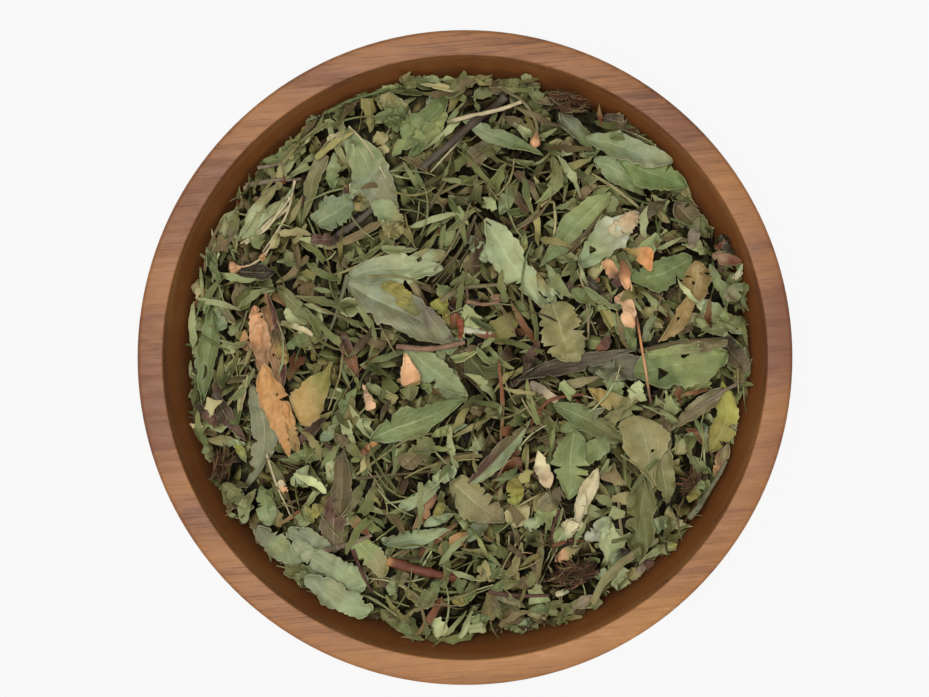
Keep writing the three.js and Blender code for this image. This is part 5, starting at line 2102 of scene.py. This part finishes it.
def ring_tints(tone, start_tone, reach, luck):
    """A tint for each ring: the start's tone over its first reach, then the stem's one after another."""
    tints = np.array([colour_of_tone[name] for name in tone.split()])
    at = np.linspace(0, 1, STEM_RINGS)
    tint = np.stack([np.interp(at, np.linspace(0, 1, len(tints)), part) for part in tints.T], axis=1)
    start = colour_of_tone[start_tone]
    share = np.clip((at - reach) / 0.06, 0, 1)[:, None]
    return (start + (tint - start) * share) * (1 + 0.06 * np.sin(at * 23 + luck.uniform(0, 6)))[:, None]


LYING_ON_TOP = {"thin_right", "level_middle", "dark_upper", "cream_upper", "bud_upper"}
for stem, (tone, start_tone, thickness, bud, corners) in STEMS.items():
    luck = np.random.default_rng(len(stem) * 7 + 3)
    way = stem_way(corners, thickness, on="stem_" + stem, raised=stem in LYING_ON_TOP)
    tints = ring_tints(tone, start_tone, 0.15 if bud else 0.03, luck)
    twig = tube("twig_" + stem, way, stem_radii(thickness, bud, luck), tints)
    settle(twig, stem_finish, "stem_" + stem)

thin_stalks = {}
for number, (tone, thickness, *corners) in enumerate(STALKS):
    luck = np.random.default_rng(number)
    way = stem_way(corners, thickness)
    radii = stem_radii(thickness, 0, luck) * np.linspace(1.15, 0.7, STEM_RINGS)
    stalk = tube(f"stalk_{number}", way, radii, ring_tints(tone, tone, 0, luck))
    thin_stalks.setdefault(slot_of_tone[tone], []).append(stalk)
for slot, made in thin_stalks.items():
    settle(gathered("thin_stalks_" + slot, made), stem_finish, slot=slot)
print("stems:", len(STEMS), "thin stalks:", len(STALKS))

# %% [markdown]
# ## Tufts
#
# Here and there lies a dried flower head: a tangle of narrow bracts that lie more or less one way. One
# bract is modelled like a cutting. Its copies are laid round the head's middle on a spiral that is
# squeezed to an oval, and each heads and leans a little off the common way.

# %% Tufts
BRACT = (5.5, 0.42, (0.5, 0.9, 1.0, 0.7, 0.25), 1, {"curl": 0.05, "bow": 0.5})
SPIRAL_STEP = 2.4  # turn from one bract to the next
OVAL = 0.55
kinds["bract"] = cutting("bract", *BRACT, luck)
# name: middle on the plan, radius in mm, number of bracts, their common heading in degrees
TUFTS = {
    "upper": ((24, 59), 4.4, 80, -20),
    "left": ((-56, -24.5), 4.2, 84, 70),
    "lower": ((25, -49.5), 5.6, 110, 15),
    "right": ((51.5, -28.5), 2.6, 36, 60),
}
open_top = blurred(ground, OPEN_BLUR)
for tuft, (middle, radius, count, common) in TUFTS.items():
    luck = np.random.default_rng(count + len(tuft))
    grow = math.radians(common)
    bracts = []
    for number in range(count):
        turn = number * SPIRAL_STEP + luck.normal(0, 0.3)
        off = radius * 0.8 * math.sqrt((number + 0.5) / count)
        ahead, side = off * math.cos(turn), OVAL * off * math.sin(turn)
        place = (
            middle[0] + ahead * math.cos(grow) - side * math.sin(grow),
            middle[1] + ahead * math.sin(grow) + side * math.cos(grow),
        )
        heading = grow + luck.normal(0, 0.55)
        lean = luck.normal(0, 0.12, 2)
        scale = luck.uniform(0.5, 1.1)
        points = laid(kinds["bract"], place, heading, scale, lean, 1, resting=60)
        if points is not None:
            bracts.append(("bract", points, luck.uniform(), luck.normal(0, 1.2)))
    head = joined("flower_" + tuft, bracts)
    stands_for = ["tuft_" + tuft] if "tuft_" + tuft in tops else []
    settle(head, tuft_finish, *stands_for, slot="dark")
print("tufts:", len(TUFTS))

# %% Petals
PETALS = table_rows("""
scrap, 32.5 22.5, 36 16.5, 3.2, peach plum
lance, 36 22.5, 38.5 14.5, 2.6, rust peach
smooth, 35 12.5, 37.2 15, 2.4, blush blush
smooth, 38.5 7.5, 37 15.5, 3.2, blush blush
smooth, 36 10, 39 7, 3, blush peach
""")
PETAL_LOOK = {"fold": 0.3, "edge": 0.7, "wrinkle": 0.15, "nerves": 0.1, "tears": 0.2}
petals = []
for number, (outline, base, tip, width, tones) in enumerate(PETALS):
    name = f"petal_{number}"
    petals.append(whole_leaf(name, outline, base, tip, width, tones, size=COARSE, **PETAL_LOOK))
settle(gathered("petals", petals), whole_finish, "tuft_petals")
print("petals:", len(PETALS))

# %% [markdown]
# ## Crumbs on top, and the bed's meshes
#
# Last, some shreds and strips fall into the gaps, along the wall where they lie near it. Most of those
# that would cover a whole leaf, a stem, a petal or a tuft are left out, so that these stay in sight.
#
# Now the heap's final top is known, so the cuttings can be written to their meshes: a place well below
# the top around it gets little light in a real heap, so painted shade darkens it with its depth.

# %% Last crumbs
LAST_KINDS = {"strand": 0.3, "shred": 0.16, "sliver": 0.12, "strip": 0.32, "leaf_tip": 0.1}
LAST_CRUMBS = 800
LEAF_KEPT_CLEAR = 0.95
MOST_COVERED = 0.12
LEAST_SCALE, MOST_SCALE = (0.6, 0.6, 0.6), (1.1, 1.0, 1.5)
luck = np.random.default_rng(BED_SEED + 1)
on_leaf |= ground > leaf_top
sprinkled = []
for _ in range(LAST_CRUMBS):
    kind = list(LAST_KINDS)[int(luck.choice(len(LAST_KINDS), p=list(LAST_KINDS.values())))]
    place = lowest_place(luck, 2)
    scale = luck.uniform(LEAST_SCALE, MOST_SCALE)
    made = kind, int(luck.integers(VARIANTS))
    heading = heading_at(*place)
    reach = kinds[made]["fine"][:, 1] * scale[1]
    way_x, way_y = place[0] + reach * math.cos(heading), place[1] + reach * math.sin(heading)
    covered = on_leaf[cells_at(way_x, way_y)].mean()
    if covered > MOST_COVERED and luck.uniform() < LEAF_KEPT_CLEAR:
        continue
    points = laid(kinds[made], place, heading, scale, luck.normal(0, 0.12, 2), 1, resting=80)
    if points is not None:
        sprinkled.append((made, points, luck.uniform(), luck.normal(0, 1)))
print("crumbs on top:", len(sprinkled))

# %% Write the bed
open_top = blurred(ground, OPEN_BLUR)
cuttings += sprinkled
for start in range(BED_PIECES):
    bed_piece = joined(f"cuttings_{start + 1}", cuttings[start::BED_PIECES])
    settle(bed_piece, mixed, slot="mix")
    print(bed_piece.name, "faces:", len(bed_piece.data.polygons))

# %% [markdown]
# ## Clearing up
#
# The patterns were only models to copy from, so they are removed. The size of the dressed bowl is
# printed, with the number of added pieces and their triangles.

# %% Clearing up
for sheet in leaf_patterns.values():
    bpy.data.objects.remove(sheet)
low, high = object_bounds()
print("dressed, mm:", [round(v / MM, 1) for v in (*low, *high)])
meshes = [o for o in bpy.data.objects if o.type == "MESH" and o.name not in frame["nodes"]]
added = [o for o in meshes if o.get("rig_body")]
print("pieces:", len(added), "triangles:", sum(2 * len(o.data.polygons) for o in added))
